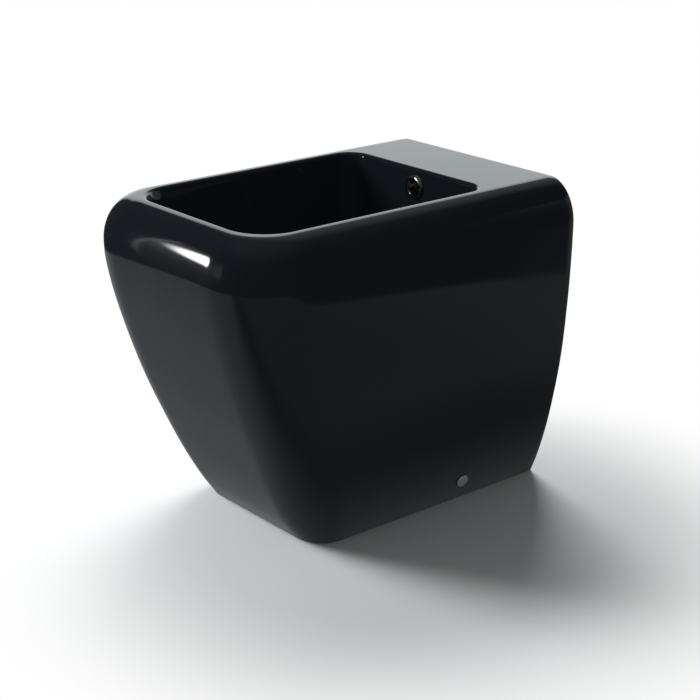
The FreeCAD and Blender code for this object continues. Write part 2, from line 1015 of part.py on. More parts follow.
def cone_seal(label, thread):
    wide = thread / 2 - s.thread_gap
    bore = pipe_radius + s.running_gap
    return turned_piece(label, [
        (bore, 0),
        (wide, 0),
        (wide, s.cone_seal_band),
        (s.cone_seal_nose / 2, s.cone_seal_thickness),
        (bore, s.cone_seal_thickness),
    ])


def trap_inlet():
    gasket = ring(
        "inlet_gasket", pipe_bore + s.thread_gap, s.waste_tube / 2, pipe_top, waste_end
    )
    flange_under = pipe_top - s.pipe_flange_thickness
    dip_end = s.cup_floor_height + s.dip_gap
    pipe = turned_piece("inlet_pipe", [
        (pipe_bore, dip_end),
        (pipe_radius, dip_end),
        (pipe_radius, flange_under),
        (s.pipe_flange / 2, flange_under),
        (s.pipe_flange / 2, pipe_top),
        (pipe_bore, pipe_top),
    ])
    nut = slip_nut("inlet_nut", s.inlet_nut_flats, s.inlet_nut_length, s.waste_tube)
    place_on_drain(nut, z=flange_under - s.nut_lip)
    keep(place_on_drain(gasket), place_on_drain(pipe), nut)


def trap_body():
    body = new_body("trap_body")
    low = bottle_joint - s.bottle_thread
    collar_top = bottle_joint + s.bottle_collar
    outside = s.bottle_width / 2
    thread = cup_bore - s.thread_gap
    turn(body, [
        (0, low),
        (thread, low),
        (thread, bottle_joint),
        (s.cup_width / 2, bottle_joint),
        (s.cup_width / 2, collar_top),
        (outside, collar_top),
        (outside, bottle_top - s.bottle_shoulder),
        (outside - s.bottle_shoulder, bottle_top),
        (s.bottle_neck / 2, bottle_top),
        (s.bottle_neck / 2, neck_top),
        (0, neck_top),
    ])
    spigot = sketch_on(body, "spigot", "XZ_Plane")
    circle(spigot, 0, outlet_level, s.spigot_width / 2)
    pad(body, spigot, s.spigot_length, reverse=True)
    inside = outside - s.bottle_wall
    ceiling = bottle_top - s.bottle_wall
    turn(body, [
        (0, low - s.overrun),
        (inside, low - s.overrun),
        (inside, ceiling - s.bottle_shoulder),
        (inside - s.bottle_shoulder, ceiling),
        (lip_bore, ceiling),
        (lip_bore, neck_top + s.overrun),
        (0, neck_top + s.overrun),
    ], cut=True)
    bore = sketch_on(body, "spigot_bore", "XZ_Plane")
    circle(bore, 0, outlet_level, lip_bore)
    pad(body, bore, s.spigot_length + s.overrun, cut=True)
    keep(place_on_drain(body))


def trap_cup():
    body = new_body("trap_cup")
    outside = s.cup_width / 2
    taper_top = s.cup_floor_height + s.cup_taper
    floor_top = s.cup_floor_height + s.bottle_wall
    turn(body, [
        (0, s.cup_floor_height),
        (s.cup_base / 2, s.cup_floor_height),
        (outside, taper_top),
        (outside, cup_top),
        (cup_bore, cup_top),
        (cup_bore, taper_top),
        ((s.cup_base - s.bottle_wall) / 2, floor_top),
        (0, floor_top),
    ])
    rib = sketch_on(body, "grip_rib", "XY_Plane", cup_top - s.cup_rib_height)
    half = s.cup_rib_width / 2
    box_outline(rib, outside - s.cup_rib, outside + s.cup_rib, -half, half)
    pattern(body, pad(body, rib, s.cup_rib_height - s.cup_rib), cup_rib_count)
    seal = ring(
        "cup_seal",
        cup_bore - s.thread_gap / 2,
        outside,
        cup_top,
        bottle_joint,
    )
    keep(place_on_drain(body), place_on_drain(seal))


def trap_joints():
    # The top joint holds the dip pipe, and the outlet joint the pipe to the wall.
    top_nut = slip_nut("trap_top_nut", s.trap_nut_flats, s.trap_nut_length, s.bottle_neck)
    top_seal = cone_seal("trap_top_seal", s.bottle_neck)
    outlet_nut = slip_nut("outlet_nut", s.trap_nut_flats, s.trap_nut_length, s.spigot_width)
    outlet_seal = cone_seal("outlet_seal", s.spigot_width)
    top_end = neck_top + s.cone_seal_thickness
    outlet_end = s.spigot_length + s.cone_seal_thickness
    place_on_drain(top_nut, z=top_end + s.nut_lip, angle=half_turn)
    place_on_drain(top_seal, z=top_end, angle=half_turn)
    place_on_drain(outlet_nut, y=outlet_end + s.nut_lip, z=outlet_level, angle=quarter_turn)
    place_on_drain(outlet_seal, y=outlet_end, z=outlet_level, angle=quarter_turn)
    # A turned mark on the outlet pipe shows how far it goes in the wall's socket.
    length = s.drain_setback - s.pipe_insert
    mark = length - s.socket_depth
    pipe = turned_piece("outlet_pipe", [
        (pipe_bore, 0),
        (pipe_radius, 0),
        (pipe_radius, mark - s.mark_width),
        (pipe_radius - s.mark_depth, mark - s.mark_width),
        (pipe_radius - s.mark_depth, mark),
        (pipe_radius, mark),
        (pipe_radius, length),
        (pipe_bore, length),
    ])
    place_on_drain(pipe, y=s.pipe_insert, z=outlet_level, angle=-quarter_turn)
    keep(top_nut, top_seal, outlet_nut, outlet_seal, pipe)


# Side fixings: the inner face of the wall there, and the bracket's ear, lie square to the screw
inner_wall = (
    half_width_at(fixing_level - 1)
    + (half_width_at(fixing_level + 1) - half_width_at(fixing_level - 1))
    * (s.fixing_height / level(fixing_level + 1))
    - s.skirt_wall
)
ear_face = (inner_wall - half_width_at(fixing_level)) * cosine(fixing_tilt) - s.wall_gap
ear_back = ear_face - s.bracket_thickness
nut_back = ear_back - s.weld_nut_thickness
screw_bore = s.screw_width / 2 + s.thread_gap


def fixing_sleeve():
    tube = s.sleeve_width / 2
    head_room = s.screw_head / 2 + s.thread_gap
    flange_top = s.seat_gap + s.sleeve_flange_thickness
    return on_fixing(turned_piece("fixing_sleeve_right", [
        (screw_bore, ear_face),
        (tube, ear_face),
        (tube, s.seat_gap),
        (s.sleeve_flange / 2, s.seat_gap),
        (s.sleeve_flange / 2, flange_top),
        (head_room, flange_top),
        (head_room, -s.screw_seat),
        (screw_bore, -s.screw_seat),
    ]))


def fixing_screw():
    end = nut_back - s.screw_overhang
    head_top = s.screw_head_height - s.screw_seat
    body = turned_piece("fixing_screw_right", [
        (0, end),
        (s.screw_width / 2, end),
        (s.screw_width / 2, -s.screw_seat),
        (s.screw_head / 2, -s.screw_seat),
        (s.screw_head / 2, head_top),
        (0, head_top),
    ])
    socket = sketch_on(body, "key_socket", "XY_Plane", head_top)
    hexagon(socket, s.hex_key)
    pad(body, socket, s.hex_key_depth, cut=True)
    return on_fixing(body)


def cover_cap():
    top = s.seat_gap + s.cap_height
    ceiling = s.seat_gap + s.sleeve_flange_thickness + s.thread_gap
    return on_fixing(turned_piece("cover_cap_right", [
        (s.cap_cavity / 2, s.seat_gap),
        (s.cap_width / 2, s.seat_gap),
        (s.cap_width / 2, top - s.cap_edge),
        (s.cap_width / 2 - s.cap_edge, top),
        (0, top),
        (0, ceiling),
        (s.cap_cavity / 2, ceiling),
    ]))


def weld_nut():
    body = new_body("weld_nut_right")
    sketch = sketch_on(body, "weld_nut_outline", "XY_Plane", nut_back)
    hexagon(sketch, s.weld_nut_flats)
    circle(sketch, 0, 0, screw_bore)
    pad(body, sketch, s.weld_nut_thickness)
    return on_fixing(body)


def floor_bracket():
    # An angle bent to the lean of the wall, with its foot on the floor
    face_x, face_z = from_fixing(ear_face)
    back_x, back_z = from_fixing(ear_back)
    lean = sine(fixing_tilt)
    rise = cosine(fixing_tilt)
    slope = lean / rise
    toe = face_x - face_z * slope
    heel = toe - s.bracket_foot
    thickness = s.bracket_thickness
    body = new_body("bracket_plate")
    profile = sketch_on(body, "bracket_profile", "XZ_Plane")
    outline(profile, [
        (heel, 0),
        (toe, 0),
        (face_x + s.bracket_ear * lean, face_z + s.bracket_ear * rise),
        (back_x + s.bracket_ear * lean, back_z + s.bracket_ear * rise),
        (back_x + (thickness - back_z) * slope, thickness),
        (heel, thickness),
    ])
    pad(body, profile, s.bracket_length, midplane=True)
    round_edges(
        body, s.bracket_corner, lambda edge: abs(edge.Length - thickness.number) < slack
    )
    anchor = sketch_on(body, "anchor_hole", "XY_Plane", thickness)
    circle(anchor, (toe + heel) / 2, 0, s.anchor_hole / 2)
    pad(body, anchor, thickness, cut=True)
    place(body, y=-s.fixing_setback)
    ear_hole = cylinder("ear_hole", screw_bore, thickness + 2 * s.overrun)
    on_fixing(ear_hole, ear_back - s.overrun)
    return join("Part::Cut", "floor_bracket_right", (body, ear_hole))


def side_fixings():
    for make in (cover_cap, fixing_screw, fixing_sleeve, floor_bracket, weld_nut):
        piece = make()
        keep(piece, mirrored_form(piece.Label.replace("right", "left"), piece))


for make_pieces in (
    ceramic_body,
    overflow_ring,
    waste_body,
    waste_clamp,
    plug,
    plug_guide,
    plug_spring,
    trap_inlet,
    trap_body,
    trap_cup,
    trap_joints,
    side_fixings,
):
    make_pieces()

document.recompute()
os.makedirs("parts", exist_ok=True)
faults = []
for item in document.Objects:
    if "Invalid" in item.State or "Error" in item.State:
        faults.append("%s is %s" % (item.Label, item.State))
for label, thing in kept.items():
    if thing.Shape.isNull() or not thing.Shape.isValid() or len(thing.Shape.Solids) != 1:
        faults.append(label + " isn't one valid solid")
if faults:
    raise SystemExit("\n".join(faults))
for label, thing in kept.items():
    thing.Shape.exportStep(os.path.join("parts", label + ".step"))
    print("%-24s %8.1f cm3" % (label, thing.Shape.Volume / 1000))
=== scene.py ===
import json
import math

import bmesh
import bpy
from mathutils import Matrix, Vector

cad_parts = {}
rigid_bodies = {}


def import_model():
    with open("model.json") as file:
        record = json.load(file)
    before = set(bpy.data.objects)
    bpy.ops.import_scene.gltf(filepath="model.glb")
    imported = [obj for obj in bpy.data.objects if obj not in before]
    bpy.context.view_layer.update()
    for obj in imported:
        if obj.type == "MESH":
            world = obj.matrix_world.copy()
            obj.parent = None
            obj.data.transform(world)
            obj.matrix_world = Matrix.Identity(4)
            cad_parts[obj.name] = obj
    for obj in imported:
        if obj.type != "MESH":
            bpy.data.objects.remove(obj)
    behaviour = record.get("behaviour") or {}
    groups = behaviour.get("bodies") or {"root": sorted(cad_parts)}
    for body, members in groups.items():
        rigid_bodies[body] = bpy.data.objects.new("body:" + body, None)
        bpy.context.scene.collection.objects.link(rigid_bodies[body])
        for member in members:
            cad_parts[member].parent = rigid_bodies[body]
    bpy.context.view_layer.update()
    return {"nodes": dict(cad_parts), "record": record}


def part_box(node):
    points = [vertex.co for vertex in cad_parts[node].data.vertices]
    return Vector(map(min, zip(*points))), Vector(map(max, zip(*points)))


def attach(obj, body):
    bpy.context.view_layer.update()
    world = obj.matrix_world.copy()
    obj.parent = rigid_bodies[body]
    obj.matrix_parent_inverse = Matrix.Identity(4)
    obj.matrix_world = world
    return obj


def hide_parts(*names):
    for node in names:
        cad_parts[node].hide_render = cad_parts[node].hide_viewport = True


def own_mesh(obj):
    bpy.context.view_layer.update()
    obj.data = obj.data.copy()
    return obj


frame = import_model()
scene = bpy.context.scene
mm = 0.001
print("frame loaded")


class Wire:
    # a socket that works in sums, products and powers
    def __init__(self, nodes, socket):
        self.nodes = nodes
        self.socket = socket

    def maths(self, operation, first, second):
        node = self.nodes.add("ShaderNodeMath", {"operation": operation}, {0: first, 1: second})
        return self.nodes.wire(node)

    def __add__(self, other):
        return self.maths("ADD", self, other)

    def __radd__(self, other):
        return self.maths("ADD", other, self)

    def __sub__(self, other):
        return self.maths("SUBTRACT", self, other)

    def __rsub__(self, other):
        return self.maths("SUBTRACT", other, self)

    def __mul__(self, other):
        return self.maths("MULTIPLY", self, other)

    def __rmul__(self, other):
        return self.maths("MULTIPLY", other, self)

    def __truediv__(self, other):
        return self.maths("DIVIDE", self, other)

    def __rtruediv__(self, other):
        return self.maths("DIVIDE", other, self)

    def __pow__(self, other):
        return self.maths("POWER", self, other)


class Nodes:
    # the nodes of one material or world
    def __init__(self, tree):
        self.tree = tree
        tree.nodes.clear()

    def add(self, kind, settings=None, sockets=None):
        node = self.tree.nodes.new(kind)
        for name, setting in (settings or {}).items():
            setattr(node, name, setting)
        for name, given in (sockets or {}).items():
            if isinstance(given, Wire):
                self.tree.links.new(given.socket, node.inputs[name])
            else:
                node.inputs[name].default_value = given
        return node

    def wire(self, node, output=0):
        return Wire(self, node.outputs[output])

    def noise(self, place, scale, detail=2.0):
        sockets = {"Vector": place, "Scale": scale, "Detail": detail}
        return self.wire(self.add("ShaderNodeTexNoise", None, sockets))

    def band(self, value, low, high, outLow=0.0, outHigh=1.0):
        # value from low to high becomes outLow to outHigh, smoothly
        sockets = {"Value": value, 1: low, 2: high, 3: outLow, 4: outHigh}
        kind = "ShaderNodeMapRange"
        return self.wire(self.add(kind, {"interpolation_type": "SMOOTHSTEP"}, sockets))

    def blend(self, factor, first, second):
        sockets = {0: factor, 6: first, 7: second}
        return self.wire(self.add("ShaderNodeMix", {"data_type": "RGBA"}, sockets), 2)

    def parts(self, place):
        # the X, Y and Z of a place
        node = self.add("ShaderNodeSeparateXYZ", None, {0: place})
        return [self.wire(node, name) for name in "XYZ"]

    def towards(self, way, heading, elevation=0):
        # how far a direction points towards a heading: 1 straight at it, 0 across it
        sockets = {0: way, 1: headingWay(heading, elevation)}
        node = self.add("ShaderNodeVectorMath", {"operation": "DOT_PRODUCT"}, sockets)
        return self.wire(node, "Value")

    def stretched(self, place, scales):
        sockets = {"Vector": place, "Scale": scales}
        return self.wire(self.add("ShaderNodeMapping", None, sockets))


def newFinish(name):
    material = bpy.data.materials.new(name)
    material.use_nodes = True
    nodes = Nodes(material.node_tree)
    place = nodes.wire(nodes.add("ShaderNodeTexCoord"), "Object")
    return material, nodes, place


def surface(nodes, sockets, height, look):
    # one shader, with its relief from height
    bump = nodes.add("ShaderNodeBump", None, {
        "Strength": look["relief"], "Distance": look["depth"], "Height": height,
    })
    shader = nodes.add("ShaderNodeBsdfPrincipled", None, {**sockets, "Normal": nodes.wire(bump)})
    nodes.add("ShaderNodeOutputMaterial", None, {"Surface": nodes.wire(shader)})


# black glaze outside, bare clay inside; a scale counts a pattern's cells in a metre
glazeLook = {
    "deep": (0.0048, 0.0064, 0.0084, 1), "thin": (0.007, 0.009, 0.0114, 1),
    "clay": (0.5, 0.46, 0.4, 1), "clayStain": (0.36, 0.32, 0.27, 1), "stain": 0.6,
    "roughness": 0.04, "smear": 0.02, "clayRoughness": 0.8, "index": 1.5,
    "peel": 0.12, "finePeel": 0.5, "depth": 0.0004, "relief": 0.3,
    "cloudScale": 6.0, "speckleScale": 240.0, "grainScale": 900.0,
    "smearScale": 14.0, "peelScales": (55.0, 12.0), "speckles": (0.58, 0.72),
}


def blackGlaze():
    material, nodes, place = newFinish("blackGlaze")
    look = glazeLook
    raw = nodes.wire(nodes.add("ShaderNodeAttribute", {"attribute_name": "unglazed"}), "Fac")
    cloud = nodes.noise(place, look["cloudScale"], detail=3.0)
    grain = nodes.noise(place, look["grainScale"])
    speckle = nodes.noise(place, look["speckleScale"], detail=3.0)
    speckle = nodes.band(speckle, *look["speckles"])
    glaze = nodes.blend(cloud, look["deep"], look["thin"])
    clay = nodes.blend(speckle * look["stain"], look["clay"], look["clayStain"])
    gloss = look["roughness"] + nodes.noise(place, look["smearScale"], detail=4.0) * look["smear"]
    fine, broad = (nodes.noise(place, scale, detail=1.0) for scale in look["peelScales"])
    peel = (fine * look["finePeel"] + broad) * (1 - raw) * look["peel"]
    surface(nodes, {
        "Base Color": nodes.blend(raw, glaze, clay),
        "Roughness": gloss + raw * (look["clayRoughness"] - gloss),
        "IOR": look["index"],
    }, peel + grain * raw, look)
    return material


chromeLook = {
    "dark": (0.74, 0.76, 0.78, 1), "light": (0.82, 0.83, 0.84, 1), "roughness": (0.045, 0.11),
    "smearScale": 60.0, "smears": (0.35, 0.75), "scratchScales": (900, 60, 900),
    "depth": 0.00002, "relief": 0.08,
}


def chromePlate():
    material, nodes, place = newFinish("chromePlate")
    smear = nodes.noise(place, chromeLook["smearScale"], detail=4.0)
    scratch = nodes.noise(nodes.stretched(place, chromeLook["scratchScales"]), 1.0)
    surface(nodes, {
        "Base Color": nodes.blend(smear, chromeLook["dark"], chromeLook["light"]),
        "Metallic": 1.0,
        "Roughness": nodes.band(smear, *chromeLook["smears"], *chromeLook["roughness"]),
    }, scratch, chromeLook)
    return material


brassLook = {
    "bright": (0.76, 0.58, 0.28, 1), "tarnished": (0.52, 0.38, 0.17, 1), "roughness": (0.2, 0.38),
    "tarnishScale": 90.0, "stains": (0.4, 0.7), "dulling": (0.3, 0.8),
    "latheScales": (40, 40, 2600), "depth": 0.00005, "relief": 0.35,
}


def machinedBrass():
    material, nodes, place = newFinish("machinedBrass")
    grooves = nodes.noise(nodes.stretched(place, brassLook["latheScales"]), 1.0)
    tarnish = nodes.noise(place, brassLook["tarnishScale"], detail=4.0)
    stained = nodes.band(tarnish, *brassLook["stains"])
    surface(nodes, {
        "Base Color": nodes.blend(stained, brassLook["bright"], brassLook["tarnished"]),
        "Metallic": 1.0,
        "Roughness": nodes.band(tarnish, *brassLook["dulling"], *brassLook["roughness"]),
    }, grooves, brassLook)
    return material


steelLook = {
    "dark": (0.52, 0.53, 0.55, 1), "light": (0.68, 0.69, 0.7, 1), "roughness": (0.26, 0.44),
    "spangleScale": 260.0, "brushScales": (120, 2200, 120), "dulling": (0.3, 0.7),
    "depth": 0.00005, "relief": 0.25,
}


def platedSteel():
    material, nodes, place = newFinish("platedSteel")
    sockets = {"Vector": place, "Scale": steelLook["spangleScale"], "Randomness": 1.0}
    spangle = nodes.wire(nodes.add("ShaderNodeTexVoronoi", None, sockets), "Color")
    grey = nodes.wire(nodes.add("ShaderNodeRGBToBW", None, {0: spangle}))
    brushed = nodes.noise(nodes.stretched(place, steelLook["brushScales"]), 1.0, detail=3.0)
    surface(nodes, {
        "Base Color": nodes.blend(grey, steelLook["dark"], steelLook["light"]),
        "Metallic": 1.0,
        "Roughness": nodes.band(brushed, *steelLook["dulling"], *steelLook["roughness"]),
    }, brushed, steelLook)
    return material


rubberLook = {
    "deep": (0.016, 0.016, 0.017, 1), "bloomed": (0.045, 0.045, 0.046, 1),
    "roughness": (0.52, 0.72), "grainScale": 1400.0, "bloomScale": 70.0, "blooms": (0.45, 0.75),
    "depth": 0.0001, "relief": 0.3,
}


def mouldedRubber():
    material, nodes, place = newFinish("mouldedRubber")
    grain = nodes.noise(place, rubberLook["grainScale"])
    bloom = nodes.noise(place, rubberLook["bloomScale"], detail=4.0)
    bloom = nodes.band(bloom, *rubberLook["blooms"])
    surface(nodes, {
        "Base Color": nodes.blend(bloom, rubberLook["deep"], rubberLook["bloomed"]),
        "Roughness": nodes.band(bloom, 0.0, 1.0, *rubberLook["roughness"]),
    }, grain, rubberLook)
    return material


plasticRelief = {
    "flowScales": (30, 30, 9), "flows": (0.3, 0.75), "roughnessSpread": 0.12,
    "depth": 0.00008, "relief": 0.22,
}
plasticLooks = {
    "trap_plastic": {
        "name": "trapPlastic", "light": (0.86, 0.86, 0.84, 1), "dark": (0.78, 0.78, 0.76, 1),
        "roughness": 0.26, "grainScale": 1100.0,
    },
    "nylon": {
        "name": "nylon", "light": (0.82, 0.8, 0.74, 1), "dark": (0.74, 0.72, 0.66, 1),
        "roughness": 0.42, "grainScale": 900.0,
    },
    "cap_plastic": {
        "name": "capPlastic", "light": (0.25, 0.26, 0.275, 1), "dark": (0.19, 0.2, 0.21, 1),
        "roughness": 0.24, "grainScale": 1300.0,
    },
}


def mouldedPlastic(look):
    material, nodes, place = newFinish(look["name"])
    flow = nodes.noise(nodes.stretched(place, plasticRelief["flowScales"]), 1.0, detail=4.0)
    grain = nodes.noise(place, look["grainScale"])
    smooth = look["roughness"]
    rough = smooth + plasticRelief["roughnessSpread"]
    surface(nodes, {
        "Base Color": nodes.blend(flow, look["light"], look["dark"]),
        "Roughness": nodes.band(flow, *plasticRelief["flows"], smooth, rough),
    }, grain, plasticRelief)
    return material


finishes = {
    "black_glaze": blackGlaze(),
    "chrome_plate": chromePlate(),
    "brass": machinedBrass(),
    "steel": platedSteel(),
    "rubber": mouldedRubber(),
    **{slotName: mouldedPlastic(look) for slotName, look in plasticLooks.items()},
}
for part in frame["record"]["subparts"]:
    node = frame["nodes"][part["node"]]
    node.data.materials.clear()
    node.data.materials.append(finishes[part["material_slot"]])
print("finishes made")


def addPiece(name, mesh, slotName, body, replaced=None, sharpAngle=35):
    # puts a finished mesh in the scene, on its body and in place of its solid
    mesh.set_sharp_from_angle(angle=math.radians(sharpAngle))
    piece = bpy.data.objects.new(name, mesh)
    scene.collection.objects.link(piece)
    mesh.materials.clear()
    mesh.materials.append(finishes[slotName])
    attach(piece, body)
    if replaced:
        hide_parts(replaced)
    return piece


def faceOut(bm, axis):
    # turns an open sheet so that the face furthest along the axis points along it
    bmesh.ops.recalc_face_normals(bm, faces=bm.faces)
    furthest = max(bm.faces, key=lambda face: face.calc_center_median()[axis])
    if furthest.normal[axis] < 0:
        bmesh.ops.reverse_faces(bm, faces=bm.faces)


def creases(bm, angle):
    # edges where two faces meet at more than this angle in radians
    return [
        edge for edge in bm.edges
        if len(edge.link_faces) == 2 and edge.calc_face_angle(0) > angle
    ]


def roundOff(bm, edges, offset, segments):
    bmesh.ops.bevel(
        bm, geom=edges, offset=offset * mm, segments=segments, profile=0.5,
        affect="EDGES", material=-1,
    )


def meshFrom(bm, name):
    for face in bm.faces:
        face.smooth = True
    mesh = bpy.data.meshes.new(name)
    bm.to_mesh(mesh)
    bm.free()
    return mesh


def arc(centre, radius, first, last, steps):
    # points of an arc in a turned profile, by angles in degrees
    points = []
    for step in range(steps + 1):
        angle = math.radians(first + (last - first) * step / steps)
        points.append((centre[0] + radius * math.cos(angle), centre[1] + radius * math.sin(angle)))
    return points


def turned(name, profile, matrix, steps=72, closed=False):
    # a profile of radius and height in mm, spun about Z and then put in place
    bm = bmesh.new()
    verts = [bm.verts.new((radius * mm, 0, height * mm)) for radius, height in profile]
    pairs = list(zip(verts, verts[1:] + verts[:1])) if closed else list(zip(verts, verts[1:]))
    edges = [bm.edges.new(pair) for pair in pairs]
    bmesh.ops.spin(
        bm, geom=verts + edges, cent=(0, 0, 0), axis=(0, 0, 1), angle=math.tau,
        steps=steps, use_merge=True,
    )
    bmesh.ops.remove_doubles(bm, verts=bm.verts, dist=1e-6)
    bmesh.ops.recalc_face_normals(bm, faces=bm.faces)
    bm.transform(matrix)
    return meshFrom(bm, name)


# glazed body: sizes in mm, Y from the wall, Z from the floor
bodyShape = {
    "wallPlane": 255.5,
    "footHalf": 122, "half": 180,
    "footFront": 374, "front": 511,
    "footCorner": 38.5, "corner": 86,
    "heights": [0, 29.7, 70.92, 121.68, 182.52, 253.44, 314.28, 360],
    "sideShares": [0, 0.203, 0.426, 0.629, 0.811, 0.926, 0.984, 1],
    "frontShares": [0, 0.157, 0.320, 0.485, 0.665, 0.836, 0.955, 1],
    "cornerShares": [0, 0.356, 0.578, 0.737, 0.867, 0.944, 0.988, 1],
    "crownStart": 362, "crown": 54, "crownWidth": 44, "top": 416,
    "rimMargin": 4.5, "supportGap": 5, "supportShare": 0.45,
    "wall": 11, "footSnap": 4.5, "edgeRound": 1.6, "edgeAngle": 0.8,
}
basinShape = {
    "half": 129.5, "back": 109, "front": 463,
    "frontCorner": 51, "backCorner": 27.5, "leastCorner": 4, "middleShare": 0.8,
    "roll": 5.5, "rollMargin": 1.5,
    "sideDraft": 18, "backDraft": 10, "frontDraft": 50,
    "floor": 261, "floorRound": 30, "drain": 240,
    "holeHalf": 18.5, "holeLow": 374, "holeHigh": 408, "holeBorder": 6,
    "overflowRadius": 11.2, "overflowLevel": 392,
}
backWindow = {
    "half": 92, "cornerStart": 260, "top": 300, "corner": 40, "relaxed": 84, "relaxRise": 90,
    "margin": 12,
}
drainRings = [
    (66, 261), (62, 260.9), (56, 260.5), (46, 259.7), (38, 259.06), (35, 258.8), (34.3, 258.5),
    (34, 257.8), (34, 252), (24, 252), (23.2, 251.8), (23, 251), (23, 212),
]

# the body's net: rings from the foot over the crown down to the drain, columns round it
skirtLevels = [
    0, 6, 13, 21, 29.7, 40, 52, 65, 78, 92, 107, 122, 138, 154, 170, 186, 202, 217, 232, 247, 260,
    268, 276, 283, 289, 294, 298, 300, 309, 320, 332, 344, 354, 360,
]
crownAngles = range(0, 73, 6)
ringSteps = {"upperCrown": 4, "roll": 7, "wall": 16, "floor": 10}
drainShares = (0.08, 0.5)
backSideCount = 8
columnCounts = [
    ("sideBack", 12, 1), ("sideFront", 28, 1), ("corner", 20, 1), ("front", 26, 1),
    ("corner", 20, -1), ("sideFront", 28, -1), ("sideBack", 12, -1),
    ("backSide", backSideCount, -1), ("backMiddle", 20, 1), ("backSide", backSideCount, 1),
]
columns = []
middleColumns = []
for partName, count, side in columnCounts:
    if partName == "backMiddle":
        middleColumns = list(range(len(columns), len(columns) + count + 1))
    for step in range(count):
        share = step / count
        turnedRound = side < 0 and partName in ("corner", "sideFront", "sideBack")
        turnedRound = turnedRound or (side > 0 and partName == "backSide")
        columns.append((partName, 1 - share if turnedRound else share, side))
depthOfBasin = bodyShape["top"] - basinShape["floor"]
hair = 0.01  # mm, the least difference that counts


def fromWall(y):
    # a distance from the wall in mm as a Y of the scene
    return (bodyShape["wallPlane"] - y) * mm


def placed(x, y, height):
    return x * mm, fromWall(y), height * mm


def mix(first, second, share):
    return first + (second - first) * share


def smoothCurve(knots, values, place):
    # a smooth curve through the values at the knots, level at its last knot
    last = len(knots) - 1
    index = max([i for i in range(last) if knots[i] <= place] or [0])

    def slope(i):
        if i == last:
            return 0
        low = max(i - 1, 0)
        return (values[i + 1] - values[low]) / (knots[i + 1] - knots[low])

    span = knots[index + 1] - knots[index]
    t = (place - knots[index]) / span
    return (
        (2 * t**3 - 3 * t**2 + 1) * values[index]
        + (t**3 - 2 * t**2 + t) * span * slope(index)
        + (3 * t**2 - 2 * t**3) * values[index + 1]
        + (t**3 - t**2) * span * slope(index + 1)
    )


def windowHalf(height):
    start = backWindow["cornerStart"]
    corner = backWindow["corner"]
    if height <= start:
        return backWindow["half"]
    if height <= backWindow["top"]:
        reach = math.sqrt(max(corner**2 - (height - start) ** 2, 0))
        return backWindow["half"] - corner + reach
    rise = min((height - backWindow["top"]) / backWindow["relaxRise"], 1)
    return mix(backWindow["half"] - corner, backWindow["relaxed"], rise)


def outerPlan(column, half, front, corner, height):
    kind, share, side = columns[column]
    split = basinShape["back"] + basinShape["backCorner"]
    if kind == "sideBack":
        return side * half, split * share
    if kind == "sideFront":
        return side * half, mix(split, front - corner, share)
    if kind == "corner":
        angle = math.radians(90 * share)
        return (
            side * (half - corner + corner * math.cos(angle)),
            front - corner + corner * math.sin(angle),
        )
    if kind == "front":
        return mix(half - corner, corner - half, share), front
    window = min(windowHalf(height), half - backWindow["margin"])
    if kind == "backMiddle":
        return mix(-window, window, share), 0
    return side * mix(half, window, share), 0


def basinPlan(column, depth, outset):
    # the basin's outline at a depth share from the rim to the floor, grown by outset
    kind, share, side = columns[column]
    half = basinShape["half"] - basinShape["sideDraft"] * depth + outset
    back = basinShape["back"] + basinShape["backDraft"] * depth - outset
    front = basinShape["front"] - basinShape["frontDraft"] * depth + outset
    frontCorner, backCorner = (
        max(basinShape[name] + outset, basinShape["leastCorner"])
        for name in ("frontCorner", "backCorner")
    )
    if kind == "sideBack":
        angle = math.radians(90 * (1 - share))
        return (
            side * (half - backCorner + backCorner * math.cos(angle)),
            back + backCorner - backCorner * math.sin(angle),
        )
    if kind == "sideFront":
        return side * half, mix(back + backCorner, front - frontCorner, share)
    if kind == "corner":
        angle = math.radians(90 * share)
        return (
            side * (half - frontCorner + frontCorner * math.cos(angle)),
            front - frontCorner + frontCorner * math.sin(angle),
        )
    if kind == "front":
        return mix(half - frontCorner, frontCorner - half, share), front
    edge = half - backCorner
    near = edge * basinShape["middleShare"]
    if kind == "backMiddle":
        return mix(-near, near, share), back
    return side * mix(edge, near, share), back


def draftAt(column):
    # how far the basin's wall leans in at a column, as a slope
    kind, share = columns[column][:2]
    slopes = {
        name: basinShape[name + "Draft"] / depthOfBasin for name in ("side", "back", "front")
    }
    angle = math.radians(90 * share)
    if kind == "sideBack":
        return mix(slopes["side"], slopes["back"], math.cos(angle) ** 2)
    if kind == "sideFront":
        return slopes["side"]
    if kind == "corner":
        return mix(slopes["side"], slopes["front"], math.sin(angle) ** 2)
    return slopes["front"] if kind == "front" else slopes["back"]


def insetAt(x, y):
    # how far in from the outside a point of the top lies, without regard to the back edge
    half, front, corner = (bodyShape[name] for name in ("half", "front", "corner"))
    across = abs(x) - (half - corner)
    along = y - (front - corner)
    if across > 0 and along > 0:
        return corner - math.hypot(across, along)
    return min(half - abs(x), front - y)


def crownHeight(inset):
    # the crown's section is a quarter of an ellipse
    width = bodyShape["crownWidth"]
    short = max(width - inset, 0) / width
    return bodyShape["crownStart"] + bodyShape["crown"] * math.sqrt(1 - short**2)


def rollStart(column):
    # how far out from the basin's edge its rounded roll starts, and the lean of the wall below
    lean = math.atan(draftAt(column))
    return basinShape["roll"] * (1 - math.sin(lean)) / math.cos(lean), lean


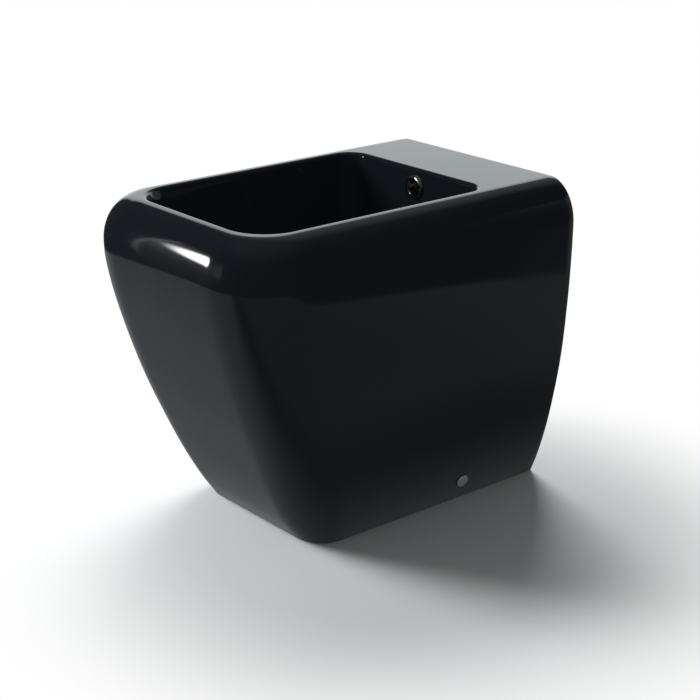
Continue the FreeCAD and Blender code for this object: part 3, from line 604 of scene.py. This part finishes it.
def skirtRing(height):
    heights = bodyShape["heights"]
    side, front, corner = (
        smoothCurve(heights, bodyShape[name], min(height, heights[-1]))
        for name in ("sideShares", "frontShares", "cornerShares")
    )
    sizes = (
        mix(bodyShape["footHalf"], bodyShape["half"], side),
        mix(bodyShape["footFront"], bodyShape["front"], front),
        mix(bodyShape["footCorner"], bodyShape["corner"], corner),
    )
    return lambda column: (*outerPlan(column, *sizes, height), height)


def crownPoint(column, inset):
    # behind the deck the rows are spread evenly over the flat back
    kind, share = columns[column][:2]
    flat = {"backMiddle": 1, "backSide": min(share * backSideCount, 1)}.get(kind, 0)
    even = bodyShape["crownStart"] + inset * bodyShape["crown"] / bodyShape["crownWidth"]
    height = mix(crownHeight(inset), even, flat)
    sizes = (bodyShape[name] - inset for name in ("half", "front", "corner"))
    return (*outerPlan(column, *sizes, height), height)


def crownInset(angle):
    return bodyShape["crownWidth"] * (1 - math.cos(math.radians(angle)))


def crownRing(angle):
    return lambda column: crownPoint(column, crownInset(angle))


def rimPoint(column, outset):
    x, y = basinPlan(column, 0, outset)
    return x, y, crownHeight(insetAt(x, y))


def beforeRoll(column):
    # a ring just outside the roll, which keeps the flat rim flat
    return rimPoint(column, rollStart(column)[0] + basinShape["rollMargin"])


def crownEnd(column):
    x, y = rimPoint(column, rollStart(column)[0])[:2]
    return min(bodyShape["crownWidth"], insetAt(x, y) - bodyShape["rimMargin"])


def upperCrownRing(share):
    first = crownInset(crownAngles[-1])
    return lambda column: crownPoint(column, mix(first, crownEnd(column), share))


def deckSupport(column):
    # a ring near the crown's end, which keeps the deck flat
    outer = Vector(crownPoint(column, crownEnd(column)))
    inner = Vector(beforeRoll(column))
    share = min(bodyShape["supportShare"], bodyShape["supportGap"] / (inner - outer).length)
    point = outer.lerp(inner, share)
    return point.x, point.y, crownHeight(insetAt(point.x, point.y))


def rollRing(share):
    def place(column):
        start, lean = rollStart(column)
        roll = basinShape["roll"]
        top = rimPoint(column, start)[2]
        angle = (math.pi / 2 - lean) * share
        x, y = basinPlan(column, 0, start - roll * math.sin(angle))
        return x, y, top - roll * (1 - math.cos(angle))

    return place


def wallRing(share):
    def place(column):
        lean = rollStart(column)[1]
        top = rollRing(1)(column)[2]
        low = basinShape["floor"] + basinShape["floorRound"] * (1 - math.sin(lean))
        height = mix(top, low, share)
        x, y = basinPlan(column, (bodyShape["top"] - height) / depthOfBasin, 0)
        return x, y, height

    return place


def floorRoundRing(share):
    def place(column):
        lean = rollStart(column)[1]
        radius = basinShape["floorRound"]
        angle = mix(-lean, -math.pi / 2, share)
        centre = -radius * (1 - math.sin(lean)) / math.cos(lean)
        x, y = basinPlan(column, 1, centre + radius * math.cos(angle))
        return x, y, basinShape["floor"] + radius + radius * math.sin(angle)

    return place


def drainRing(radius, height, share=1):
    # a ring between the basin's floor and a circle about the drain
    def place(column):
        x, y = floorRoundRing(1)(column)[:2]
        drain = basinShape["drain"]
        reach = math.hypot(x, y - drain)
        scale = mix(reach, radius, share) / reach
        return x * scale, drain + (y - drain) * scale, height

    return place


def allRings():
    upper, roll, wall, floor = ringSteps.values()
    rings = [skirtRing(height) for height in skirtLevels]
    rings += [crownRing(angle) for angle in crownAngles]
    rings += [upperCrownRing(step / upper) for step in range(1, upper + 1)]
    rings += [deckSupport, beforeRoll]
    rings += [rollRing(step / roll) for step in range(roll + 1)]
    rings += [wallRing(step / wall) for step in range(1, wall)]
    rings += [floorRoundRing(step / floor) for step in range(floor + 1)]
    rings += [drainRing(*drainRings[0], share) for share in drainShares]
    rings += [drainRing(radius, height) for radius, height in drainRings]
    return rings


def layRing(bm, edges, layer, place):
    # extrudes the last ring and puts each new vertex where its column has it
    made = bmesh.ops.extrude_edge_only(bm, edges=edges)["geom"]
    verts = {item for item in made if isinstance(item, bmesh.types.BMVert)}
    for vert in verts:
        vert.co = placed(*place(vert[layer]))
    edges = [item for item in made if isinstance(item, bmesh.types.BMEdge)]
    return [edge for edge in edges if verts.issuperset(edge.verts)]


def overflowPlace():
    # the overflow stands square on the basin's leaning back wall
    slope = basinShape["backDraft"] / depthOfBasin
    level = basinShape["overflowLevel"]
    y = basinShape["back"] + slope * (bodyShape["top"] - level)
    turn = Matrix.Rotation(math.pi / 2 - math.atan(slope), 4, "X")
    return Matrix.Translation(placed(0, y, level)) @ turn


def glazedSkin():
    bm = bmesh.new()
    layer = bm.verts.layers.int.new("column")
    rings = allRings()
    first = bmesh.ops.create_circle(bm, segments=len(columns), radius=0.1)["verts"]
    for number, vert in enumerate(first):
        vert[layer] = number
        vert.co = placed(*rings[0](number))
    edges = list(bm.edges)
    for place in rings[1:]:
        edges = layRing(bm, edges, layer, place)

    # the window in the back, open down to the floor
    top = (backWindow["top"] + hair) * mm
    middle = set(middleColumns)
    window = [
        face for face in bm.faces
        if all(vert[layer] in middle and vert.co.z < top for vert in face.verts)
        and face.calc_center_median().y > fromWall(1)
    ]
    bmesh.ops.delete(bm, geom=window, context="FACES")

    # the overflow hole in the back of the basin
    backLow = fromWall(basinShape["back"] + basinShape["backDraft"])
    backHigh = fromWall(basinShape["back"] - 1)

    def nearHole(point, grow):
        half = (basinShape["holeHalf"] + grow) * mm
        low = (basinShape["holeLow"] - grow) * mm
        high = (basinShape["holeHigh"] + grow) * mm
        return abs(point.x) < half and backLow < point.y < backHigh and low < point.z < high

    patch = [face for face in bm.faces if nearHole(face.calc_center_median(), 0)]
    bmesh.ops.delete(bm, geom=patch, context="FACES")
    grow = basinShape["holeBorder"]
    border = [
        edge for edge in bm.edges
        if edge.is_boundary and nearHole((edge.verts[0].co + edge.verts[1].co) / 2, grow)
    ]
    radius = basinShape["overflowRadius"] * mm
    hole = set(bmesh.ops.create_circle(
        bm, segments=len(border), radius=radius, matrix=overflowPlace()
    )["verts"])
    holeEdges = [edge for edge in bm.edges if hole.issuperset(edge.verts)]
    bmesh.ops.bridge_loops(bm, edges=border + holeEdges)
    faceOut(bm, 2)
    return meshFrom(bm, "glazedSkin")


def roundedBack(mesh):
    # small rounds on the crisp edges that lie on the wall plane
    bm = bmesh.new()
    bm.from_mesh(mesh)
    wallPlane = fromWall(0)
    crisp = [
        edge for edge in creases(bm, bodyShape["edgeAngle"])
        if min(vert.co.y for vert in edge.verts) > wallPlane - hair * mm
    ]
    roundOff(bm, crisp, bodyShape["edgeRound"], 3)
    for vert in bm.verts:
        vert.co.y = min(vert.co.y, wallPlane)
    bm.to_mesh(mesh)
    bm.free()


def markBare(mesh, bare):
    # a mask of the faces that carry no glaze
    mask = mesh.attributes.new("unglazed", "FLOAT", "FACE")
    for number, polygon in enumerate(mesh.polygons):
        mask.data[number].value = float(bare(polygon))
        polygon.material_index = 0


def walled(mesh, thickness):
    # the mesh as a wall of this thickness; the new faces get material index 1
    mesh.materials.append(finishes["black_glaze"])
    mesh.materials.append(finishes["black_glaze"])
    draft = bpy.data.objects.new("castDraft", mesh)
    scene.collection.objects.link(draft)
    wall = draft.modifiers.new("wall", "SOLIDIFY")
    wall.thickness = thickness * mm
    wall.offset = -1
    wall.use_even_offset = True
    wall.material_offset = 1
    wall.material_offset_rim = 1
    bpy.context.view_layer.update()
    shaped = draft.evaluated_get(bpy.context.evaluated_depsgraph_get())
    finished = bpy.data.meshes.new_from_object(shaped)
    bpy.data.objects.remove(draft)
    return finished


def castBody():
    mesh = walled(glazedSkin(), bodyShape["wall"])
    for vert in mesh.vertices:
        if vert.co.z < bodyShape["footSnap"] * mm:
            vert.co.z = 0
    roundedBack(mesh)
    markBare(mesh, lambda polygon: polygon.material_index)
    return addPiece("glazedBody", mesh, "black_glaze", "fixed", "ceramic_body", 40)


glazedBody = castBody()
print("glazed body made", len(glazedBody.data.polygons))

# cast overflow channel behind the basin, and the neck that it runs into
channelShape = {
    "half": 21, "wall": 7, "round": 5, "edgeAngle": 0.5,
    "back": [(236, 213), (76, 234), (76, 407)], "front": [(236, 250), (104, 262), (104, 407)],
}
neckShape = {"outer": 38, "inner": 23.3, "low": 212, "high": 251, "round": 1.5}


def castChannel():
    bm = bmesh.new()
    rows = []
    for side, line in ((-1, "front"), (-1, "back"), (1, "back"), (1, "front")):
        x = side * channelShape["half"]
        rows.append([bm.verts.new(placed(x, y, height)) for y, height in channelShape[line]])
    for row in rows:
        for pair in zip(row, row[1:]):
            bm.edges.new(pair)
    for near, far in zip(rows, rows[1:]):
        loops = [bm.edges.get(pair) for row in (near, far) for pair in zip(row, row[1:])]
        bmesh.ops.bridge_loops(bm, edges=loops)
    faceOut(bm, 1)
    roundOff(bm, creases(bm, channelShape["edgeAngle"]), channelShape["round"], 4)
    mesh = walled(meshFrom(bm, "channelSkin"), channelShape["wall"])
    markBare(mesh, lambda polygon: 1)
    addPiece("castChannel", mesh, "black_glaze", "fixed")


def castNeck():
    inner, outer, low, high, rounding = (
        neckShape[name] for name in ("inner", "outer", "low", "high", "round")
    )
    profile = [
        (inner, high),
        (inner, low),
        *arc((outer - rounding, low + rounding), rounding, -90, 0, 4),
        (outer, high),
    ]
    matrix = Matrix.Translation(placed(0, basinShape["drain"], 0))
    mesh = turned("castNeck", profile, matrix, 96, closed=True)
    markBare(mesh, lambda polygon: 1)
    addPiece("castNeck", mesh, "black_glaze", "fixed")


castChannel()
castNeck()

# overflow ring: a rounded bead on a sleeve
ringShape = {
    "sleeve": 11, "bore": 9.5, "outer": 16, "crest": 4, "ridge": 10.4, "length": 13,
    "beadStart": 0.6, "beadSteps": 16, "chamfer": 0.3,
}


def overflowRing():
    ridge, start, steps = (ringShape[name] for name in ("ridge", "beadStart", "beadSteps"))
    bead = []
    for step in range(steps + 1):
        angle = math.pi * step / steps
        edge = ringShape["outer" if step < steps / 2 else "bore"]
        bead.append((
            ridge + abs(edge - ridge) * math.cos(angle),
            start + (ringShape["crest"] - start) * math.sin(angle),
        ))
    profile = [
        (ringShape["sleeve"], -ringShape["length"]),
        (ringShape["sleeve"], 0),
        (ringShape["outer"] - ringShape["chamfer"], 0),
        *bead,
        (ringShape["bore"], ringShape["chamfer"] - ringShape["length"]),
    ]
    mesh = turned("overflowRing", profile, overflowPlace(), closed=True)
    addPiece("overflowRing", mesh, "chrome_plate", "fixed", "overflow_ring")


overflowRing()

# side caps: shallow, with a rounded edge
capShape = {
    "radius": 8.5, "height": 2.9, "round": 1.3, "gap": 0.3, "chamfer": 0.15,
    "cavity": 7.85, "cavityDepth": 1.4, "dome": 0.15, "halfwayDome": 0.12,
    "fromWall": 141.6, "level": 29.7,
}


def sideCap(side):
    radius, rounding, chamfer = (capShape[name] for name in ("radius", "round", "chamfer"))
    low = capShape["gap"]
    top = low + capShape["height"]
    ceiling = low + capShape["cavityDepth"]
    profile = [
        (0, ceiling),
        (capShape["cavity"], ceiling),
        (capShape["cavity"], low),
        (radius - chamfer, low),
        (radius, low + chamfer),
        *arc((radius - rounding, top - rounding), rounding, 0, 80, 8),
        (radius * 0.5, top + capShape["halfwayDome"]),
        (0, top + capShape["dome"]),
    ]
    # the skirt's half width and lean at the cap's level
    spread = bodyShape["half"] - bodyShape["footHalf"]
    half = bodyShape["footHalf"] + spread * bodyShape["sideShares"][1]
    lean = math.atan(bodyShape["sideShares"][2] * spread / bodyShape["heights"][2])
    matrix = Matrix.Translation(placed(half, capShape["fromWall"], capShape["level"]))
    matrix = matrix @ Matrix.Rotation(math.pi / 2 + lean, 4, "Y")
    if side < 0:
        matrix = Matrix.Diagonal((-1, 1, 1, 1)) @ matrix
    name = "right" if side > 0 else "left"
    mesh = turned("sideCap_" + name, profile, matrix, 48)
    if side < 0:
        mesh.flip_normals()
    addPiece("sideCap_" + name, mesh, "cap_plastic", "fixed", "cover_cap_" + name)


for side in (1, -1):
    sideCap(side)

# plug cap: domed, with a rolled edge
plugShape = {
    "radius": 19.5, "low": 263.3, "edge": 2, "dome": 268.1, "domeSteps": 9,
    "shoulder": 1.8, "shoulderDrop": 0.25,
    "boss": 6, "bossLow": 258.3, "socket": 4.05, "socketGap": 0.1,
}


def plugCap():
    low, edge, radius = (plugShape[name] for name in ("low", "edge", "radius"))
    socket, boss, bossLow = (plugShape[name] for name in ("socket", "boss", "bossLow"))
    ceiling = low + plugShape["socketGap"]
    shoulder = radius - plugShape["shoulder"]
    base = low + 2 * edge - plugShape["shoulderDrop"]
    dome = []
    for step in range(1, plugShape["domeSteps"] + 1):
        rest = 1 - step / plugShape["domeSteps"]
        dome.append((shoulder * rest, mix(base, plugShape["dome"], 1 - rest**2)))
    profile = [
        (0, ceiling),
        (socket, ceiling),
        (socket, bossLow),
        (boss, bossLow),
        (boss, low),
        (radius - edge, low),
        *arc((radius - edge, low + edge), edge, -80, 78, 14),
        *dome,
    ]
    matrix = Matrix.Translation(placed(0, basinShape["drain"], 0))
    mesh = turned("plugCap", profile, matrix, 96)
    addPiece("plugCap", mesh, "chrome_plate", "plug", "plug_cap")


plugCap()

# plug spring: round wire; the real one is pressed together as the plug goes down
springShape = {"width": 8.6, "wire": 1, "turns": 5, "turnSteps": 24, "wireSides": 12, "travel": 9}


def plugSpring():
    low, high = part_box("plug_spring")
    length = high.z - low.z
    wire = springShape["wire"] * mm / 2
    y = fromWall(basinShape["drain"])
    start = Matrix.Translation((springShape["width"] * mm / 2 - wire, y, low.z + wire))
    bm = bmesh.new()
    bmesh.ops.create_circle(
        bm, segments=springShape["wireSides"], radius=wire,
        matrix=start @ Matrix.Rotation(math.pi / 2, 4, "X"),
    )
    steps = springShape["turns"] * springShape["turnSteps"]
    bmesh.ops.spin(
        bm, geom=list(bm.verts) + list(bm.edges), cent=(0, y, 0), axis=(0, 0, 1),
        dvec=(0, 0, (length - 2 * wire) / steps), angle=math.tau * springShape["turns"],
        steps=steps,
    )
    ends = [edge for edge in bm.edges if edge.is_boundary]
    bmesh.ops.holes_fill(bm, edges=ends, sides=springShape["wireSides"])
    bmesh.ops.recalc_face_normals(bm, faces=bm.faces)
    piece = addPiece("plugSpring", meshFrom(bm, "plugSpring"), "steel", "fixed", "plug_spring")
    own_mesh(piece)


plugSpring()
print("small pieces made")

# camera, floor, world and lamps in metres; a heading is a compass angle from +Y towards +X
cameraSet = {
    "azimuth": 50.27, "elevation": 19.96, "lens": 86.36, "sensor": 36,
    "place": (1.58, -1.2777, 0.9377),
}
floorSet = {
    "size": 9.0, "albedo": (0.77, 0.79, 0.8, 1),
    # where the floor fades to white for the camera
    "centre": (0.15, 0.0), "near": 0.23, "far": 0.57,
    # where the floor ends in the glaze: all round, and sooner on one side
    "sheetEdge": (1.19, 1.27), "sideWay": (0.88, 0.47), "sheetSide": (0.97, 1.03),
    # how bright the floor is in the glaze: a painted reflection, bright on the lit left and dim to
    # the right, with painted shadow (shade) beside the object
    "left": 0.31, "leftFade": (0.02, 0.27), "right": 0.12, "rightFade": (0.14, 0.42),
    "back": 0.06, "backFade": (0.3, 0.7), "shade": 0.03,
}
worldSet = {
    "fill": 0.18, "dark": 0.03, "lowEnd": (0.41, 0.48),
    "backdrop": 1.25, "backdropHeading": -33, "backdropEdge": (0.766, 0.839),
    "side": 0.3, "sideHeading": 5, "sideEdge": (0.76, 0.95),
    "upper": 0.2, "upperAim": (-35, 32), "upperEdge": (0.86, 1.0),
    "top": 0.08, "topEdge": (0.7, 0.95),
    "window": 0.3, "windowAim": (-153, 10), "windowEdge": (0.96, 1.0),
    "windowEnd": -163, "windowFade": (0.0, 0.03),
}
panelSet = {
    "place": (-0.76, -0.80, 0.65), "aim": (0.03, -0.25, 0.39), "size": (0.9, 1.3),
    "middle": (0.01, 0.06),
    # a painted highlight: a bright tilted spot with a glow about it
    "core": 22.0, "coreEdge": (0.6, 1.4), "glow": 1.4, "glowFall": 2.2, "glowSoft": 0.5,
    "tilt": (0.866, 0.5), "shift": (0.012, 0.1), "radii": (0.07, 0.12),
    # the painted highlight's curved outline beside it: bend, place of the bend, distance, half
    # width
    "outline": 0.9, "bend": 0.3, "bendPlace": -0.35, "distance": 0.04, "line": (0.001, 0.007),
    "foot": (-0.6, -0.3), "head": (0.08, 0.13),
    "glowEdge": (-0.004, 0.006), "glowHead": (0.08, 0.14), "secondGlance": (1.2, 1.8),
}
coolWhite = (0.93, 1, 1.02, 1)
plainWhite = (1, 1, 1, 1)
lamps = {
    "left": {"place": (-1.63, -1.37, 1.5), "aim": (0, 0, 0.2), "size": (0.9, 0.9), "power": 66},
    "back": {"place": (-1.14, 1.14, 1.92), "aim": (0, 0, 0.1), "size": (1.2, 1.2), "power": 45},
    # lights the object alone and leaves the floor's shadow as it is
    "soft": {
        "place": (1.42, -1.07, 1.61), "aim": (0, 0, 0.3), "size": (1.4, 1.4), "power": 20,
        "only": True,
    },
}


def facing(place, aim):
    # a matrix at the place whose -Z looks at the aim
    away = Vector(place) - Vector(aim)
    return Matrix.Translation(place) @ away.to_track_quat("Z", "Y").to_matrix().to_4x4()


def headingWay(heading, elevation=0):
    # the direction of a heading, as a vector one long
    turn, rise = math.radians(heading), math.radians(elevation)
    return math.sin(turn) * math.cos(rise), math.cos(turn) * math.cos(rise), math.sin(rise)


def pointCamera():
    x, y, z = headingWay(180 - cameraSet["azimuth"], cameraSet["elevation"])
    place = Vector(cameraSet["place"])
    data = bpy.data.cameras.new("camera")
    data.lens = cameraSet["lens"]
    data.sensor_width = cameraSet["sensor"]
    camera = bpy.data.objects.new("camera", data)
    camera.matrix_world = facing(place, place - Vector((x, y, z)))
    scene.collection.objects.link(camera)
    scene.camera = camera


def addLamp(name, spec):
    # no lamp shows in the glaze: the panel's painted highlight does
    data = bpy.data.lights.new(name, "AREA")
    data.shape = "RECTANGLE"
    data.size, data.size_y = spec["size"]
    data.energy = spec["power"]
    lamp = bpy.data.objects.new(name, data)
    lamp.matrix_world = facing(spec["place"], spec["aim"])
    lamp.visible_glossy = False
    scene.collection.objects.link(lamp)
    if spec.get("only"):
        lit = bpy.data.collections.new(name + "Receivers")
        for item in scene.objects:
            if item.type == "MESH":
                lit.objects.link(item)
        lamp.light_linking.receiver_collection = lit


def radial(across, along):
    # the distance from the middle, as a wire
    return (across * across + along * along) ** 0.5


def stageSheet(name, material, size, matrix):
    bm = bmesh.new()
    bmesh.ops.create_grid(bm, x_segments=2, y_segments=2, size=0.5)
    bmesh.ops.scale(bm, vec=(size[0], size[1], 1), verts=bm.verts)
    mesh = meshFrom(bm, name)
    mesh.materials.append(material)
    sheet = bpy.data.objects.new(name, mesh)
    sheet.matrix_world = matrix
    scene.collection.objects.link(sheet)
    return sheet


def addFloor():
    # white to the camera away from the object; in the glaze, a painted reflection of the floor,
    # lit on the left and with painted shadow beside the object
    material, nodes, place = newFinish("floorSheet")
    path = nodes.add("ShaderNodeLightPath")
    shown = nodes.wire(path, "Is Camera Ray") + nodes.wire(path, "Is Transmission Ray")
    glossy = nodes.wire(path, "Is Glossy Ray")
    x, y = nodes.parts(place)[:2]
    middleX, middleY = floorSet["centre"]
    away = nodes.band(radial(x - middleX, y - middleY), floorSet["near"], floorSet["far"])
    outside = nodes.band(radial(x, y), *floorSet["sheetEdge"])
    sideX, sideY = floorSet["sideWay"]
    beyond = nodes.band(x * sideX + y * sideY, *floorSet["sheetSide"])
    outside = outside + beyond * (1 - outside)
    # painted light and shade: the floor seen in the glaze is bright on the left and darkens near
    # the object's right, where its shadow falls
    paintedLitShare = 1 - nodes.band(x, *floorSet["leftFade"])
    right = nodes.band(x, *floorSet["rightFade"], floorSet["shade"], floorSet["right"])
    right = right + nodes.band(y, *floorSet["backFade"]) * floorSet["back"]
    level = right + paintedLitShare * (floorSet["left"] - right)
    sheet = nodes.wire(nodes.add(
        "ShaderNodeBsdfDiffuse", None, {"Color": floorSet["albedo"], "Roughness": 0.0}
    ))
    white = nodes.wire(nodes.add("ShaderNodeEmission", None, {
        "Color": nodes.blend(shown, coolWhite, plainWhite), "Strength": shown + glossy * level,
    }))
    clear = nodes.wire(nodes.add("ShaderNodeBsdfTransparent"))
    lit = nodes.wire(nodes.add(
        "ShaderNodeMixShader", None, {0: shown * away + glossy, 1: sheet, 2: white}
    ))
    shader = nodes.add("ShaderNodeMixShader", None, {0: glossy * outside, 1: lit, 2: clear})
    nodes.add("ShaderNodeOutputMaterial", None, {"Surface": nodes.wire(shader)})
    stageSheet("floorSheet", material, (floorSet["size"], floorSet["size"]), Matrix())


def addPanel():
    # a tall panel at the left front that gives no light, seen only in the glaze and the metal: a
    # painted highlight in the shape of a soft window
    material, nodes, place = newFinish("highlightPanel")
    look = panelSet
    x, y = nodes.parts(place)[:2]
    middleX, middleY = look["middle"]
    u, v = middleX - x, y - middleY
    cosine, sine = look["tilt"]
    across = (u * cosine - v * sine + look["shift"][0]) / look["radii"][0]
    along = (u * sine + v * cosine + look["shift"][1]) / look["radii"][1]
    away = radial(across, along)
    core = 1 - nodes.band(away, *look["coreEdge"])
    glow = look["glow"] / (away ** look["glowFall"] + look["glowSoft"])
    inside = u - look["bend"] * (v - look["bendPlace"]) ** 2 - look["distance"]
    thin, thick = look["line"]
    rim = nodes.band(inside, -thick, -thin) * (1 - nodes.band(inside, thin, thick))
    rim = rim * nodes.band(v, *look["foot"]) * (1 - nodes.band(v, *look["head"]))
    within = 1 - nodes.band(inside, *look["glowEdge"])
    within = within * (1 - nodes.band(v, *look["glowHead"]))
    # painted highlight: a bright core, its glow and a curved outline
    strength = core * look["core"] + glow * within + rim * look["outline"]
    # only the first reflection shows it, so that none repeats inside the basin
    glance = nodes.wire(nodes.add("ShaderNodeLightPath"), "Glossy Depth")
    strength = strength * (1 - nodes.band(glance, *look["secondGlance"]))
    light = nodes.wire(nodes.add(
        "ShaderNodeEmission", None, {"Color": plainWhite, "Strength": strength}
    ))
    clear = nodes.wire(nodes.add("ShaderNodeBsdfTransparent"))
    shader = nodes.add("ShaderNodeAddShader", None, {0: light, 1: clear})
    nodes.add("ShaderNodeOutputMaterial", None, {"Surface": nodes.wire(shader)})
    panel = stageSheet("highlightPanel", material, look["size"], facing(look["place"], look["aim"]))
    for kind in ("camera", "diffuse", "transmission", "volume_scatter", "shadow"):
        setattr(panel, "visible_" + kind, False)


def lightWorld():
    # white to the camera, an even fill, and a dim studio with a pale backdrop in the glaze
    world = bpy.data.worlds.new("studio")
    world.use_nodes = True
    scene.world = world
    nodes = Nodes(world.node_tree)
    look = worldSet
    way = nodes.wire(nodes.add("ShaderNodeTexCoord"), "Generated")
    x, y, z = nodes.parts(way)
    flat = (x * x + y * y + 0.0001) ** 0.5  # never nought, as it divides below
    low = 1 - nodes.band(z, *look["lowEnd"])
    behind = nodes.towards(way, look["backdropHeading"]) / flat
    behind = nodes.band(behind, *look["backdropEdge"])
    beside = nodes.band(nodes.towards(way, look["sideHeading"]) / flat, *look["sideEdge"])
    upper = nodes.band(nodes.towards(way, *look["upperAim"]), *look["upperEdge"])
    window = nodes.band(nodes.towards(way, *look["windowAim"]), *look["windowEdge"])
    ending = nodes.towards(way, look["windowEnd"] + 90)
    window = window * nodes.band(ending, *look["windowFade"])
    level = look["dark"] + behind * low * look["backdrop"]
    level = level + beside * low * (1 - behind) * look["side"]
    level = level + upper * (1 - behind * low) * look["upper"]
    level = level + nodes.band(z, *look["topEdge"]) * look["top"] + window * look["window"]
    path = nodes.add("ShaderNodeLightPath")
    shown = nodes.wire(path, "Is Camera Ray") + nodes.wire(path, "Is Transmission Ray")
    glossy = nodes.wire(path, "Is Glossy Ray")
    strength = shown + glossy * level + (1 - shown) * (1 - glossy) * look["fill"]
    colour = nodes.blend(glossy * (1 - shown), plainWhite, coolWhite)
    background = nodes.add(
        "ShaderNodeBackground", None, {"Color": colour, "Strength": strength}
    )
    nodes.add("ShaderNodeOutputWorld", None, {"Surface": nodes.wire(background)})


pointCamera()
for lampName, lampSpec in lamps.items():
    addLamp(lampName, lampSpec)
addFloor()
addPanel()
lightWorld()
scene.view_settings.view_transform = "Standard"
print("studio set")
